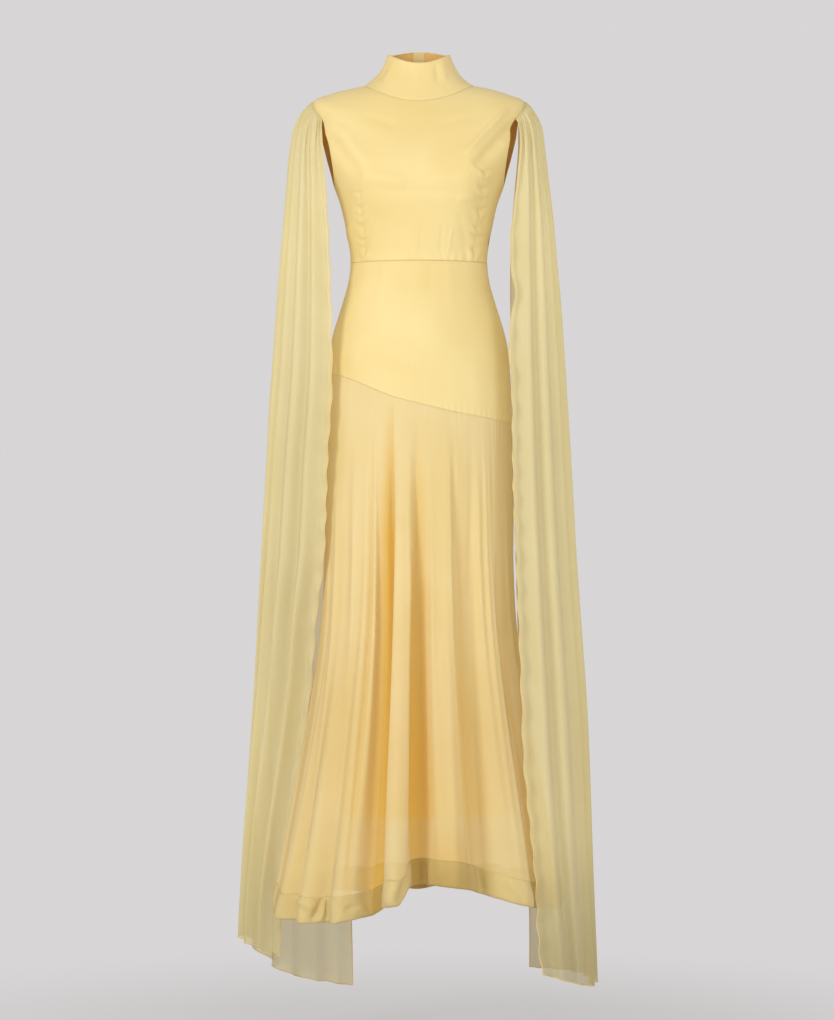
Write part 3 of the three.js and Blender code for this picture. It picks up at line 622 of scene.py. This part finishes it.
# Collar
zipHalf = 0.0015
collar = {
    "cells": (180, 36), "wall": 0.0016, "flat": (0.43, 0.11), "area": 0.036,
    "rollDepth": 0.0006, "seamDepth": 0.0002, "uneven": 0.0004,
    "creases": [
        (30, 35, 33, -6, 4, -1.6), (40, 40, 47, -2, 5, 1.4), (-55, 28, -71, 4, 5, -1.6),
        (-47, 34, -60, 6, 5, 1.3), (-75, 12, -92, -4, 4, 1.2), (62, 26, 80, 3, 5, -1.4),
    ],
}


def collarSurface(u, v):
    index = v * collarRings["index"][-1]
    gap = np.degrees(zipHalf / readAt(collarRings, "index", index)["half"])
    return collarPoint(blend(-180 + gap, 180 - gap, u), index)


def collarRelief(u, v, spot):
    folds = creases(collar["creases"], spot[..., 0], spot[..., 2]) * smooth(0.034, 0.004, spot[..., 1])
    edge = -collar["rollDepth"] * bell(v, 0.02) - collar["seamDepth"] * bell(1 - v, 0.016)
    return folds + edge + collar["uneven"] * unevenness(u * 0.43, v * 0.1, 0.05)


piece = makeCloth(
    "collarCloth", collarSurface, collar["cells"], collar["wall"], collar["flat"], collarRelief,
)
finish(piece, satin, ["collar"])

# Bodice
bodice = {
    "frontCells": (200, 150), "backCells": (90, 120), "wall": 0.0009,
    "frontFlat": (0.46, 0.33), "frontArea": 0.115, "backFlat": (0.24, 0.34), "backArea": 0.06,
    "length": 0.31, "ripple": 0.012, "neckGroove": 0.0002,
    "dartLeft": (0.117, -0.152, 0.095, -0.316), "puckersLeft": (0.022, 0.0036, 0.010),
    "dartRight": (-0.105, -0.190, -0.093, -0.316), "puckersRight": (0.019, 0.0024, 0.009),
    "creases": [
        (0, -309, 4, -262, 3, -0.8), (37, -309, 41, -250, 3, -1), (51, -309, 58, -258, 3, 1),
        (-30, -309, -36, -270, 4, 0.7), (85, -300, 70, -232, 6, -1.2), (-85, -300, -74, -240, 6, 1),
        (128, -290, 108, -236, 6, -1.4), (-130, -280, -112, -230, 6, 1.2),
        (150, -110, 112, -150, 10, -1.6), (-150, -120, -112, -160, 10, -1.2),
        (172, -70, 120, -90, 10, 1.3), (-168, -74, -120, -95, 10, 1.3), (176, -66, 96, -156, 12, -8.5),
        (157, -46, 79, -134, 6, 4.4), (-166, -60, -90, -146, 12, 2.4),
        (-160, -92, -100, -176, 12, -3.4), (-104, -172, -20, -182, 12, 2.2),
        (20, -180, 92, -172, 12, 2), (-90, -196, 80, -200, 10, -1.4), (-98, -60, -40, -84, 8, -1.2),
        (98, -60, 40, -84, 8, -1.2), (64, -215, 100, -208, 6, 1.4),
    ],
    "backCreases": [
        (62, -309, 70, -190, 3, -1.2), (30, -300, 34, -240, 7, 1), (100, -295, 88, -230, 7, -1.2),
        (150, -120, 110, -160, 11, -1.4), (140, -80, 80, -100, 12, 1.2),
    ],
}


def bodiceFront(u, v):
    index = v * waistRing
    edge = 90 - armholeAngle(index, 1)
    return bodicePoint(blend(-edge, edge, u), index)


def bodiceBack(u, v):
    index = v * waistRing
    ring = readAt(bodiceRings, "index", index)
    edge = 90 + armholeAngle(index, backArmhole)
    return bodicePoint(blend(edge, 180 - np.degrees(zipHalf / ring["half"]), u), index)


def mirrored(surface):
    return lambda u, v: surface(1 - u, v) * np.array([-1, 1, 1])


# Marks of the sewing that the satin pieces share
sewing = {
    "puckerSlant": 0.0045, "dartDepth": 0.0009, "dartHalf": 0.0026, "edgeDepth": 0.0004,
    "edgeHalf": 0.0015, "rippleHeight": 0.0006, "rippleReach": 0.014, "uneven": 0.0005,
}


# Short puckers that stand across a sewn line and die away beside it
def puckers(line, across, down, pitch, height, spread):
    fromX, fromZ, toX, toZ = line
    runX, runZ = toX - fromX, toZ - fromZ
    length = math.hypot(runX, runZ)
    along = np.clip(((across - fromX) * runX + (down - fromZ) * runZ) / length**2, 0, 1)
    apart = np.hypot(across - fromX - along * runX, down - fromZ - along * runZ)
    slant = 1.3 * np.sin(along * 17) + apart / sewing["puckerSlant"]
    beat = np.sin(2 * np.pi * along * length / pitch + slant) * (0.6 + 0.4 * np.sin(along * 29))
    fade = smooth(0, 0.12, along) * bell(apart, spread)
    groove = sewing["dartDepth"] * bell(apart, sewing["dartHalf"]) * smooth(0, 0.06, along)
    return height * beat * fade - groove


# A seam's groove and the ripples above it, at the lower edge of a piece of this length
def seamEdge(v, length, pitch, across):
    apart = (1 - v) * length
    ripple = np.sin(2 * np.pi * across / pitch + 2 * np.sin(across * 41))
    ripple *= 0.5 + 0.5 * np.sin(across * 23)
    groove = sewing["edgeDepth"] * bell(apart, sewing["edgeHalf"])
    return sewing["rippleHeight"] * ripple * bell(apart, sewing["rippleReach"]) - groove


def topGroove(v, length, depth):
    return -depth * bell(v * length, sewing["edgeHalf"])


def bodiceFrontRelief(u, v, spot):
    x, z = spot[..., 0], spot[..., 2]
    total = creases(bodice["creases"], x, z)
    total += puckers(bodice["dartLeft"], x, z, *bodice["puckersLeft"])
    total += puckers(bodice["dartRight"], x, z, *bodice["puckersRight"])
    total += seamEdge(v, bodice["length"], bodice["ripple"], x)
    total += topGroove(v, bodice["length"], bodice["neckGroove"])
    return total + sewing["uneven"] * unevenness(x, z, 0.09)


def bodiceBackRelief(u, v, spot):
    x, z = np.abs(spot[..., 0]), spot[..., 2]
    total = creases(bodice["backCreases"], x, z) + seamEdge(v, bodice["length"], bodice["ripple"], x)
    total += topGroove(v, bodice["length"], bodice["neckGroove"])
    return total + sewing["uneven"] * unevenness(spot[..., 0] + 0.4, z, 0.09)


piece = makeCloth(
    "bodiceFrontCloth", bodiceFront, bodice["frontCells"], bodice["wall"], bodice["frontFlat"],
    bodiceFrontRelief,
)
finish(piece, satin, ["bodice_front"])
for side, surface in (("left", bodiceBack), ("right", mirrored(bodiceBack))):
    piece = makeCloth(
        "bodiceBackCloth_" + side, surface, bodice["backCells"], bodice["wall"], bodice["backFlat"],
        bodiceBackRelief,
    )
    node = "bodice_back_" + side
    finish(piece, satin, [node])
print("collar and bodice made")

# Yoke
yoke = {
    "cells": (180, 110), "halfCells": (80, 100), "wall": 0.0009, "flat": (0.44, 0.29),
    "halfFlat": (0.24, 0.29), "cutShare": 0.8, "length": 0.25, "ripple": 0.010, "waistGroove": 0.0004,
    "gapEnd": (-0.49, -0.48), "gapLeft": 0.08,
    "creases": [
        (52, -318, 60, -420, 10, 0.9), (20, -316, 18, -380, 8, -0.7), (-60, -316, -75, -400, 10, 0.8),
        (118, -345, 150, -430, 12, -1.1), (-122, -350, -148, -430, 12, -0.9),
        (90, -480, 110, -585, 14, 1.2), (-100, -440, -120, -515, 14, 1), (10, -470, 4, -560, 12, -0.9),
    ],
}


# The gap at the centre back closes under the zip's end
def yokeSurface(start, end):
    def surface(u, v):
        z = blend(waistZ, seamZ(180), v)
        middle = np.degrees(zipHalf / readAt(skirtSections, "z", z)["half"])
        middle = middle * np.maximum(smooth(*yoke["gapEnd"], z), yoke["gapLeft"])
        low = start + (middle if start == 180 else 0)
        high = end - (middle if end == 180 else 0)
        angle = blend(low, high, u)
        return sectionPoint(angle, blend(waistZ, seamZ(angle), v), 0)
    return surface


def yokeRelief(u, v, spot):
    x, z = spot[..., 0], spot[..., 2]
    total = creases(yoke["creases"], x, z) + seamEdge(v, yoke["length"], yoke["ripple"], x)
    total += topGroove(v, yoke["length"], yoke["waistGroove"])
    return total + sewing["uneven"] * unevenness(x, z, 0.12)


for name, node, start, end, cells, flat in (
    ("yokeFrontCloth", "yoke_front", -90, 90, yoke["cells"], yoke["flat"]),
    ("yokeBackCloth_left", "yoke_back_left", 90, 180, yoke["halfCells"], yoke["halfFlat"]),
    ("yokeBackCloth_right", "yoke_back_right", 180, 270, yoke["halfCells"], yoke["halfFlat"]),
):
    piece = makeCloth(name, yokeSurface(start, end), cells, yoke["wall"], flat, yokeRelief)
    finish(piece, satin, [node])
print("yoke made")

# Skirt, hem band and lining
skirt = {
    "cells": (300, 180), "flat": (0.86, 0.89), "area": 0.52, "sheerZ": (-0.85, -1.2), "length": 0.9,
    "minorHeight": 0.0024, "seamDepth": 0.0003, "easeHeight": 0.0004, "uneven": 0.0008,
    "bandCells": (360, 14), "bandWall": 0.0012, "bandFlat": (0.95, 0.045), "bandRoll": 0.0014,
    "bandCurl": 0.0007, "bandSwell": 0.0018, "bandRipple": 0.0010,
    "bandCreases": [
        (-164, -1418, -186, -1462, 5, -5.5), (-152, -1416, -172, -1462, 5, 6),
        (-138, -1420, -150, -1460, 6, -4), (-222, -1424, -176, -1440, 5, 2.8),
        (-112, -1424, -84, -1450, 6, 4), (6, -1352, 12, -1394, 5, -3.4), (-40, -1380, -52, -1424, 7, 6),
        (-24, -1372, -34, -1420, 6, -5), (-205, -1430, -190, -1462, 6, -3.6),
        (-130, -1436, -100, -1428, 5, -3.4), (100, -1368, 110, -1410, 6, -4),
        (150, -1384, 190, -1432, 8, 3.6),
    ],
    "liningCells": (200, 60), "liningFlat": (0.95, 0.78), "liningArea": 0.68, "liningTop": 0.003,
    "liningIn": 0.0015, "liningTaper": 0.044, "liningWave": 0.004,
    "stitchRow": 0.08, "stitchSpots": 700, "stitchPitch": 0.0034, "stitchSize": 0.00025,
    "stitchOut": 0.0001,
}


# Sharper troughs and ridges along the folds: creases whose x is an angle in tenths of a degree
skirtCreases = [
    (-260, -575, -210, -1440, 22, -6), (-155, -590, -145, -1430, 16, 3),
    (-100, -600, -95, -1420, 24, 5), (0, -585, 15, -1400, 24, -7), (75, -640, 85, -1400, 14, 3),
    (170, -600, 150, -1400, 26, 4.5), (240, -680, 260, -1410, 16, -3.6),
    (340, -640, 290, -1410, 22, -5.2), (380, -660, 390, -1420, 18, 4), (470, -610, 460, -1420, 22, 4),
    (550, -800, 570, -1430, 24, -5), (-330, -580, -330, -1200, 22, 3.4),
    (-420, -620, -410, -1450, 34, 7), (-520, -650, -500, -1200, 30, -2),
    (-600, -700, -590, -1450, 30, 5), (-700, -760, -680, -1450, 24, -3),
    (-50, -900, -35, -1400, 12, -3), (-180, -820, -175, -1420, 10, -1.6),
    (660, -700, 680, -1430, 26, 4.4), (800, -760, 820, -1440, 24, -4),
    (1060, -720, 1040, -1440, 26, 4.2), (1170, -640, 1150, -1440, 24, -4.8),
    (1280, -610, 1260, -1440, 24, 4.6), (1380, -640, 1370, -1440, 22, -5),
    (1460, -600, 1480, -1430, 26, 5), (1570, -590, 1590, -1430, 22, -5.6),
    (1690, -600, 1700, -1430, 24, 4.6), (1800, -590, 1810, -1430, 24, -6),
    (1900, -620, 1920, -1430, 26, 5), (2050, -600, 2030, -1440, 22, -5),
    (2120, -640, 2140, -1440, 26, 4.6), (2270, -600, 2250, -1450, 22, -4.4),
    (2340, -680, 2360, -1450, 24, 4), (2490, -700, 2470, -1450, 22, -4),
    (2580, -760, 2570, -1450, 26, 3.8), (-168, -560, -162, -1440, 17, -12),
    (-125, -570, -122, -1430, 16, 6.5), (-18, -600, -20, -1410, 17, -12),
    (-60, -600, -62, -1410, 16, 6), (215, -620, 220, -1410, 15, -7), (185, -620, 188, -1410, 14, 4.5),
    (435, -600, 420, -1420, 14, 4.5), (500, -640, 500, -1420, 16, -6),
    (-300, -570, -292, -1440, 14, -6), (-270, -570, -262, -1300, 14, 4),
]


# The finer folds between the main ones
def minorFolds(angle, z):
    grown = np.clip((-0.58 - z) / 0.85, 0, 1) ** 0.8
    turn = np.radians(angle)
    wave = np.sin(turn * 27 + 2.6 * np.sin(turn * 5)) * 0.55
    wave += np.sin(turn * 47 + 1.8 * np.sin(turn * 3) + 0.8) * 0.3
    patches = 0.5 + 0.5 * np.sin(turn * 4.3 + z * 2.1)
    sharper = creases(skirtCreases, angle / 100, z) * np.clip(0.1 + grown * 2, 0, 1)
    return skirt["minorHeight"] * grown * wave * patches + sharper


def skirtRelief(u, v, spot, angle):
    z = spot[..., 2]
    fallen = v * skirt["length"]
    seam = skirt["seamDepth"] * bell(fallen, 0.003)
    turn = np.radians(angle)
    ease = np.sin(turn * 61 + 4 * np.sin(turn * 13)) * (0.5 + 0.5 * np.sin(turn * 7))
    ease *= skirt["easeHeight"] * bell(fallen, 0.04)
    return minorFolds(angle, z) - seam + ease + skirt["uneven"] * unevenness(u * 0.8, z, 0.14)


# Painted shade on the front of the skirt and its hem band, where folds, sides and the hem's middle lie in
# shade:
# middle angle, reach before and after it, height of the start, height where it is full, strength
skirtPaintedShade = [
    (-15.8, 13, 1.5, -560, -800, 1.0), (-1.8, 1.5, 11, -620, -1160, 1.0),
    (24, 3, 12, -700, -1180, 0.45), (19, 6, 2, -900, -1200, 0.25), (51, 3, 10, -840, -1150, 0.30),
    (-86, 16, 20, -500, -650, 0.50), (-56, 2, 8, -900, -1200, 0.28), (-41, 8, 2, -900, -1250, 0.12),
    (-28.5, 5, 1.5, -620, -950, 0.28), (11, 13, 28, -1260, -1380, 0.75),
]


# Painted shade: at the back it deepens with the folds' depth, in their troughs; at the front the table above
# and faint stripes give it
def paintedShadeOf(angle, z):
    depth = foldDepth(angle, z) + 0.9 * creases(skirtCreases, angle / 100, z)
    behind = smooth(0.0003, 0.0125, -depth) * (0.65 + 0.2 * smooth(-0.6, -1.1, z)) * smooth(92, 104, angle)
    turn = np.radians(angle)
    ahead = 0.12 * (0.5 + 0.5 * np.sin(turn * 31 + 2 * np.sin(turn * 7))) * smooth(-0.6, -0.9, z)
    for middle, before, after, start, full, strength in skirtPaintedShade:
        away = np.where(angle < middle, (middle - angle) / before, (angle - middle) / after)
        grown = np.clip((start - z * 1000) / (start - full), 0, 1) ** 0.7
        ahead = np.maximum(ahead, strength * grown * (1 - smooth(0.15, 1, away / (0.35 + 0.65 * grown))))
    return np.maximum(ahead * smooth(104, 92, angle), behind)


for side, start, end in (("front", -90, 90), ("back", 90, 270)):
    def angleAt(u):
        return blend(start, end, u)

    def skirtSurface(u, v):
        angle = angleAt(u)
        return skirtPoint(angle, blend(seamZ(angle), hemZ(angle) + hemBandDepth, v))

    def bandSurface(u, v):
        angle = angleAt(u)
        return skirtPoint(angle, blend(hemZ(angle) + hemBandDepth, hemZ(angle), v))

    def mainRelief(u, v, spot):
        return skirtRelief(u, v, spot, angleAt(u))

    def bandRelief(u, v, spot):
        angle = angleAt(u)
        turn = np.radians(angle)
        roll = -skirt["bandRoll"] * bell(1 - v, 0.06) + skirt["bandCurl"] * (1 - v) ** 2
        swell = skirt["bandSwell"] * np.sin(np.pi * v)
        ripple = np.sin(turn * 49 + 3 * np.sin(turn * 9) + v * 2) * (0.4 + 0.6 * v)
        ripple *= skirt["bandRipple"]
        twist = creases(skirt["bandCreases"], spot[..., 0], spot[..., 2]) * (spot[..., 1] < 0)
        return minorFolds(angle, spot[..., 2]) + roll + swell + ripple + twist

    # Painted shade of the skirt and hem band, from the table above and the folds' depth
    def paintedShade(u, v, spot):
        return paintedShadeOf(angleAt(u), spot[..., 2])

    piece = makeCloth(
        "skirtCloth_" + side, skirtSurface, skirt["cells"], None, skirt["flat"], mainRelief, paintedShade,
        lambda u, v, spot: smooth(*skirt["sheerZ"], spot[..., 2]),
    )
    finish(piece, chiffon, ["skirt_" + side])
    sewn = shaped(
        bandSurface, lambda u, v, spot: bandRelief(u, v, spot) + skirt["stitchOut"],
        np.linspace(0.002, 0.998, skirt["stitchSpots"]), np.full(skirt["stitchSpots"], skirt["stitchRow"]),
    )
    stitches = makeStitches("hemStitches_" + side, [sewn], skirt["stitchPitch"], skirt["stitchSize"])
    trim(stitches, beadChiffon)
    piece = makeCloth(
        "hemBandCloth_" + side, bandSurface, skirt["bandCells"], skirt["bandWall"], skirt["bandFlat"],
        bandRelief, paintedShade,
    )
    finish(
        piece, bandChiffon, ["hem_band_" + side],
    )


def liningSurface(u, v):
    angle = blend(-90, 270, u)
    z = blend(seamZ(angle) - skirt["liningTop"], liningHemZ, v)
    return sectionPoint(angle, z, -(skirt["liningIn"] + skirt["liningTaper"] * v))


def liningRelief(u, v, spot):
    turn = np.radians(blend(-90, 270, u))
    wave = np.sin(turn * 14 + 1.5 * np.sin(turn * 3)) * skirt["liningWave"]
    return (wave - skirt["liningWave"]) * v


piece = makeCloth(
    "liningCloth", liningSurface, skirt["liningCells"], None, skirt["liningFlat"], liningRelief,
)
finish(piece, liningCloth, ["skirt_lining"])
print("skirt made")

# Sleeves
sleeve = {
    "cells": (260, 210), "flat": (0.60, 1.57), "area": 0.7, "length": 1.55, "rowCrowding": 1.5,
    "beadSides": 6, "beadRadius": 0.0009, "beadFlat": (0.004, 1.5), "edgeShare": 0.03,
    "waveHeight": 0.0026, "gatherHeight": 0.0019, "flutterHeight": 0.0034, "flutterPitch": 0.062,
    "waves": 7, "fineWaves": 15, "gathers": 23,
    # Painted shade on the sleeves: how strongly each darkens towards its hem, and between which heights
    "paintedShadeHemLeft": 0.95, "paintedShadeHemRight": 0.45, "paintedShadeZ": (-1.24, -1.62),
    "parts": ("head", "upper", "middle", "lower"),
}


def sleeveRelief(u, v, turned):
    share = 1 - u if turned else u
    fallen = v ** sleeve["rowCrowding"] * sleeve["length"]
    grown = smooth(0, 0.06, fallen) * (0.5 + 0.5 * v)
    sway = 0.3 * np.sin(fallen * 2.1 + share * 5)
    wave = np.sin(share * 2 * np.pi * sleeve["waves"] + 3.4 * np.sin(share * 9) + sway) * 0.7
    finer = np.sin(share * 2 * np.pi * sleeve["fineWaves"] + 2.6 * np.sin(share * 14) + fallen * 0.9)
    wave += finer * 0.3 * (1 - 0.5 * v)
    patchy = 0.35 + 0.65 * np.sin(share * 19 + 0.6) ** 2
    reach = 0.05 + 0.09 * np.sin(share * 23 + 1.1) ** 2
    gathers = np.sin(share * 2 * np.pi * sleeve["gathers"] + 2.4 * np.sin(share * 21))
    gathers *= patchy * bell(fallen, reach) * smooth(0, 0.01, fallen)
    near = sleeve["edgeShare"]
    edge = bell(share, near) + bell(1 - share, near)
    beat = np.sin(fallen * 2 * np.pi / sleeve["flutterPitch"] + 2.5 * np.sin(fallen * 9))
    return (
        sleeve["waveHeight"] * wave * grown + sleeve["gatherHeight"] * gathers
        + sleeve["flutterHeight"] * edge * beat * smooth(0.05, 0.3, fallen)
    )


# Painted shade on a sleeve: a little darker in its fold troughs, much darker towards its hem
def sleevePaintedShade(u, v, spot, turned):
    share = 1 - u if turned else u
    lower = sleeve["paintedShadeHemRight" if turned else "paintedShadeHemLeft"] * smooth(*sleeve["paintedShadeZ"], spot[..., 2])
    return np.maximum(sleeveFold(share) / sleeveFoldMost * 0.2 * smooth(0.1, 0.6, v), lower)


for side, rows, hem, ease, turned in (
    ("left", leftSleeveRows, leftSleeveHem, leftSleeveEase, False),
    ("right", rightSleeveRows, rightSleeveHem, None, True),
):
    def plain(u, v):
        return sleevePoint(rows, hem, u, v ** sleeve["rowCrowding"], ease)

    def relief(u, v, spot):
        return sleeveRelief(u, v, turned)

    surface = mirrored(plain) if turned else plain
    for edge, line, rings in (
        ("front", lambda t: shaped(surface, relief, np.full_like(t, float(turned)), t), 420),
        ("back", lambda t: shaped(surface, relief, np.full_like(t, 1.0 - turned), t), 420),
        ("hem", lambda t: shaped(surface, relief, t, np.ones_like(t)), 300),
        ("seam", lambda t: surface(t, np.full_like(t, 0.0001)), 160),
    ):
        bead = makeCloth(
            "sleeveBead_" + edge + "_" + side, beadSurface(line, sleeve["beadRadius"]),
            (sleeve["beadSides"], rings), None, sleeve["beadFlat"],
        )
        trim(bead, beadChiffon)
    piece = makeCloth(
        "sleeveCloth_" + side, surface, sleeve["cells"], None, sleeve["flat"], relief,
        lambda u, v, spot: sleevePaintedShade(u, v, spot, turned),
        lambda u, v, spot: 0.35 + 0.65 * smooth(0.05, 0.45, v),
    )
    nodes = ["sleeve_" + side + "_" + part for part in sleeve["parts"]]
    finish(piece, sleeveChiffon, nodes)
print("sleeves made")

# Zip: woven tape behind the opening, closed coil in it, slider and tab in dyed enamel
zipper = {
    "endZ": -0.480, "tapeHalf": 0.010, "behind": 0.0021, "tapeCells": (24, 260), "flat": (0.020, 0.556),
    "pitch": 0.0016, "coilHalf": 0.00115, "coilRadius": 0.0006, "coilOut": -0.0001,
    "coilTilt": 10, "lineSpots": 1200, "toothSides": 8,
    "stitchSpots": 160, "stitchPitch": 0.0032, "stitchSize": 0.00022, "stitchOut": 0.00012,
}


# The back's middle line from the collar's top down, with its direction out and its curve across
def backTable():
    upper, middle = np.linspace(0, 3.98, 20), np.linspace(0.02, waistRing, 60)
    lower = np.linspace(waistZ - 0.003, zipper["endZ"], 20)
    rings = [
        readAt(collarRings, "index", upper), readAt(bodiceRings, "index", middle),
        readAt(skirtSections, "z", lower),
    ]
    spots = np.concatenate([collarPoint(180, upper), bodicePoint(180, middle), sectionPoint(180, lower, 0)])
    run = np.gradient(spots, axis=0)
    length = np.hypot(run[:, 1], run[:, 2])
    return {
        "index": np.arange(len(spots)), "y": spots[:, 1], "z": spots[:, 2],
        "outY": -run[:, 2] / length, "outZ": run[:, 1] / length,
        "half": np.concatenate([ring["half"] for ring in rings]),
        "back": np.concatenate([ring["back"] for ring in rings]),
    }


backRows = backTable()


def backPoint(share, aside, out):
    row = readAt(backRows, "index", share * (len(backRows["index"]) - 1))
    rise = out - row["back"] * (1 - np.sqrt(1 - (aside / row["half"]) ** 2))
    return points(aside, row["y"] + row["outY"] * rise, row["z"] + row["outZ"] * rise)


def tapeSurface(u, v):
    return backPoint(v, blend(zipper["tapeHalf"], -zipper["tapeHalf"], u), -zipper["behind"])


bm = bmesh.new()
line = backPoint(np.linspace(0, 1, zipper["lineSpots"]), 0.0, zipper["coilOut"])
along = lengthsAlong(line)
for number in range(int(along[-1] / zipper["pitch"])):
    at = (number + 0.5) * zipper["pitch"]
    spot = spotAt(at, along, line)
    ahead = spotAt(at + 0.001, along, line) - spot
    tilt = math.radians(zipper["coilTilt"] if number % 2 else -zipper["coilTilt"])
    turn = ahead.to_track_quat("Y", "X").to_matrix().to_4x4() @ Matrix.Rotation(tilt, 4, "Z")
    radius = zipper["coilRadius"]
    bmesh.ops.create_cone(
        bm, cap_ends=True, segments=zipper["toothSides"], radius1=radius, radius2=radius,
        depth=2 * zipper["coilHalf"], matrix=Matrix.Translation(spot) @ turn,
    )
coil = trim(addObject("zipCoil", meshFrom(bm, "zipCoil")), coilNylon)

stitchLines = [
    shaped(
        surface, lambda u, v, spot: relief(u, v, spot) + zipper["stitchOut"],
        np.full(zipper["stitchSpots"], u), np.linspace(0.02, 0.98, zipper["stitchSpots"]),
    )
    for surface, relief, u in (
        (collarSurface, collarRelief, 0.014), (collarSurface, collarRelief, 0.986),
        (bodiceBack, bodiceBackRelief, 0.968), (mirrored(bodiceBack), bodiceBackRelief, 0.032),
    )
]
stitches = makeStitches("zipStitches", stitchLines, zipper["stitchPitch"], zipper["stitchSize"])
trim(stitches, beadChiffon)
piece = makeCloth("zipTapeCloth", tapeSurface, zipper["tapeCells"], None, zipper["flat"])
finish(piece, tapeCloth, ["back_zip"])
for name in ("zip_slider", "zip_pull_tab"):
    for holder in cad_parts[name].material_slots:
        holder.material = enamel
print("zip made")

# Camera, light and floor
studio = {
    "middle": (-0.0035, -0.752), "distance": 5.5, "frameHeight": 1.805, "sensor": 24.0,
    "backdrop": (0.683, 0.668, 0.668, 1), "skyStrength": 0.8, "floorZ": -1.72, "floorSize": 14.0,
    "floorTone": (0.62, 0.61, 0.61, 1), "floorFade": (0.3, 1.5), "floorBlend": (0.55, 1.0),
}
scene.view_settings.view_transform = "Standard"
scene.cycles.transparent_max_bounces = 32
cameraData = bpy.data.cameras.new("camera")
cameraData.sensor_fit = "VERTICAL"
cameraData.sensor_height = studio["sensor"]
cameraData.lens = studio["sensor"] * studio["distance"] / studio["frameHeight"]
camera = addObject("camera", cameraData)
camera.location = (studio["middle"][0], -studio["distance"], studio["middle"][1])
camera.rotation_euler = (math.radians(90), 0, 0)
scene.camera = camera


def addLamp(name, place, target, size, watts, colour):
    data = bpy.data.lights.new(name, "AREA")
    data.shape = "RECTANGLE"
    data.size = data.size_y = size
    data.energy = watts
    data.color = colour
    lamp = addObject(name, data)
    lamp.location = place
    lamp.rotation_euler = (Vector(target) - Vector(place)).to_track_quat("-Z", "Y").to_euler()


addLamp("keyLamp", (-2.3, -2.5, 0.1), (0, 0, -0.45), 1.2, 50, (1.0, 0.985, 0.97))
addLamp("fillLamp", (2.8, -2.3, -0.1), (0, 0, -0.5), 1.8, 25, (0.99, 0.99, 1.0))
addLamp("frontLamp", (0.3, -3.6, 0.1), (0, 0, -0.5), 1.4, 25, (1.0, 0.99, 0.98))
world = bpy.data.worlds.new("studio")
scene.world = world
world.use_nodes = True
sky = world.node_tree.nodes["Background"]
sky.inputs["Color"].default_value = studio["backdrop"]
seen = addNode(world.node_tree, "LightPath").outputs["Is Camera Ray"]
dimmer = ranged(world.node_tree, seen, studio["skyStrength"], 1.0)
world.node_tree.links.new(dimmer, sky.inputs["Strength"])
bm = bmesh.new()
bmesh.ops.create_grid(bm, x_segments=1, y_segments=1, size=studio["floorSize"] / 2)
bmesh.ops.translate(bm, vec=(0, 0, studio["floorZ"]), verts=bm.verts)
floor = addObject("floor", meshFrom(bm, "floor"))
floorMaterial = bpy.data.materials.new("floor")
tree = nodeTree(floorMaterial)
place = addNode(tree, "TexCoord").outputs["Object"]
flat = addNode(tree, "VectorMath", {0: place, 1: (1, 1, 0)}, operation="MULTIPLY")
distance = addNode(tree, "VectorMath", {0: flat.outputs[0]}, operation="LENGTH")
fade = ranged(
    tree, distance.outputs["Value"], *studio["floorBlend"], *studio["floorFade"],
    interpolation_type="SMOOTHSTEP",
)
matt = addNode(tree, "BsdfDiffuse", {"Color": studio["floorTone"]})
glowing = addNode(tree, "Emission", {"Color": studio["backdrop"]})
mixed = addNode(tree, "MixShader", {"Fac": fade, 1: matt.outputs[0], 2: glowing.outputs[0]})
addNode(tree, "OutputMaterial", {"Surface": mixed.outputs[0]})
floor.data.materials.append(floorMaterial)
print("studio made")
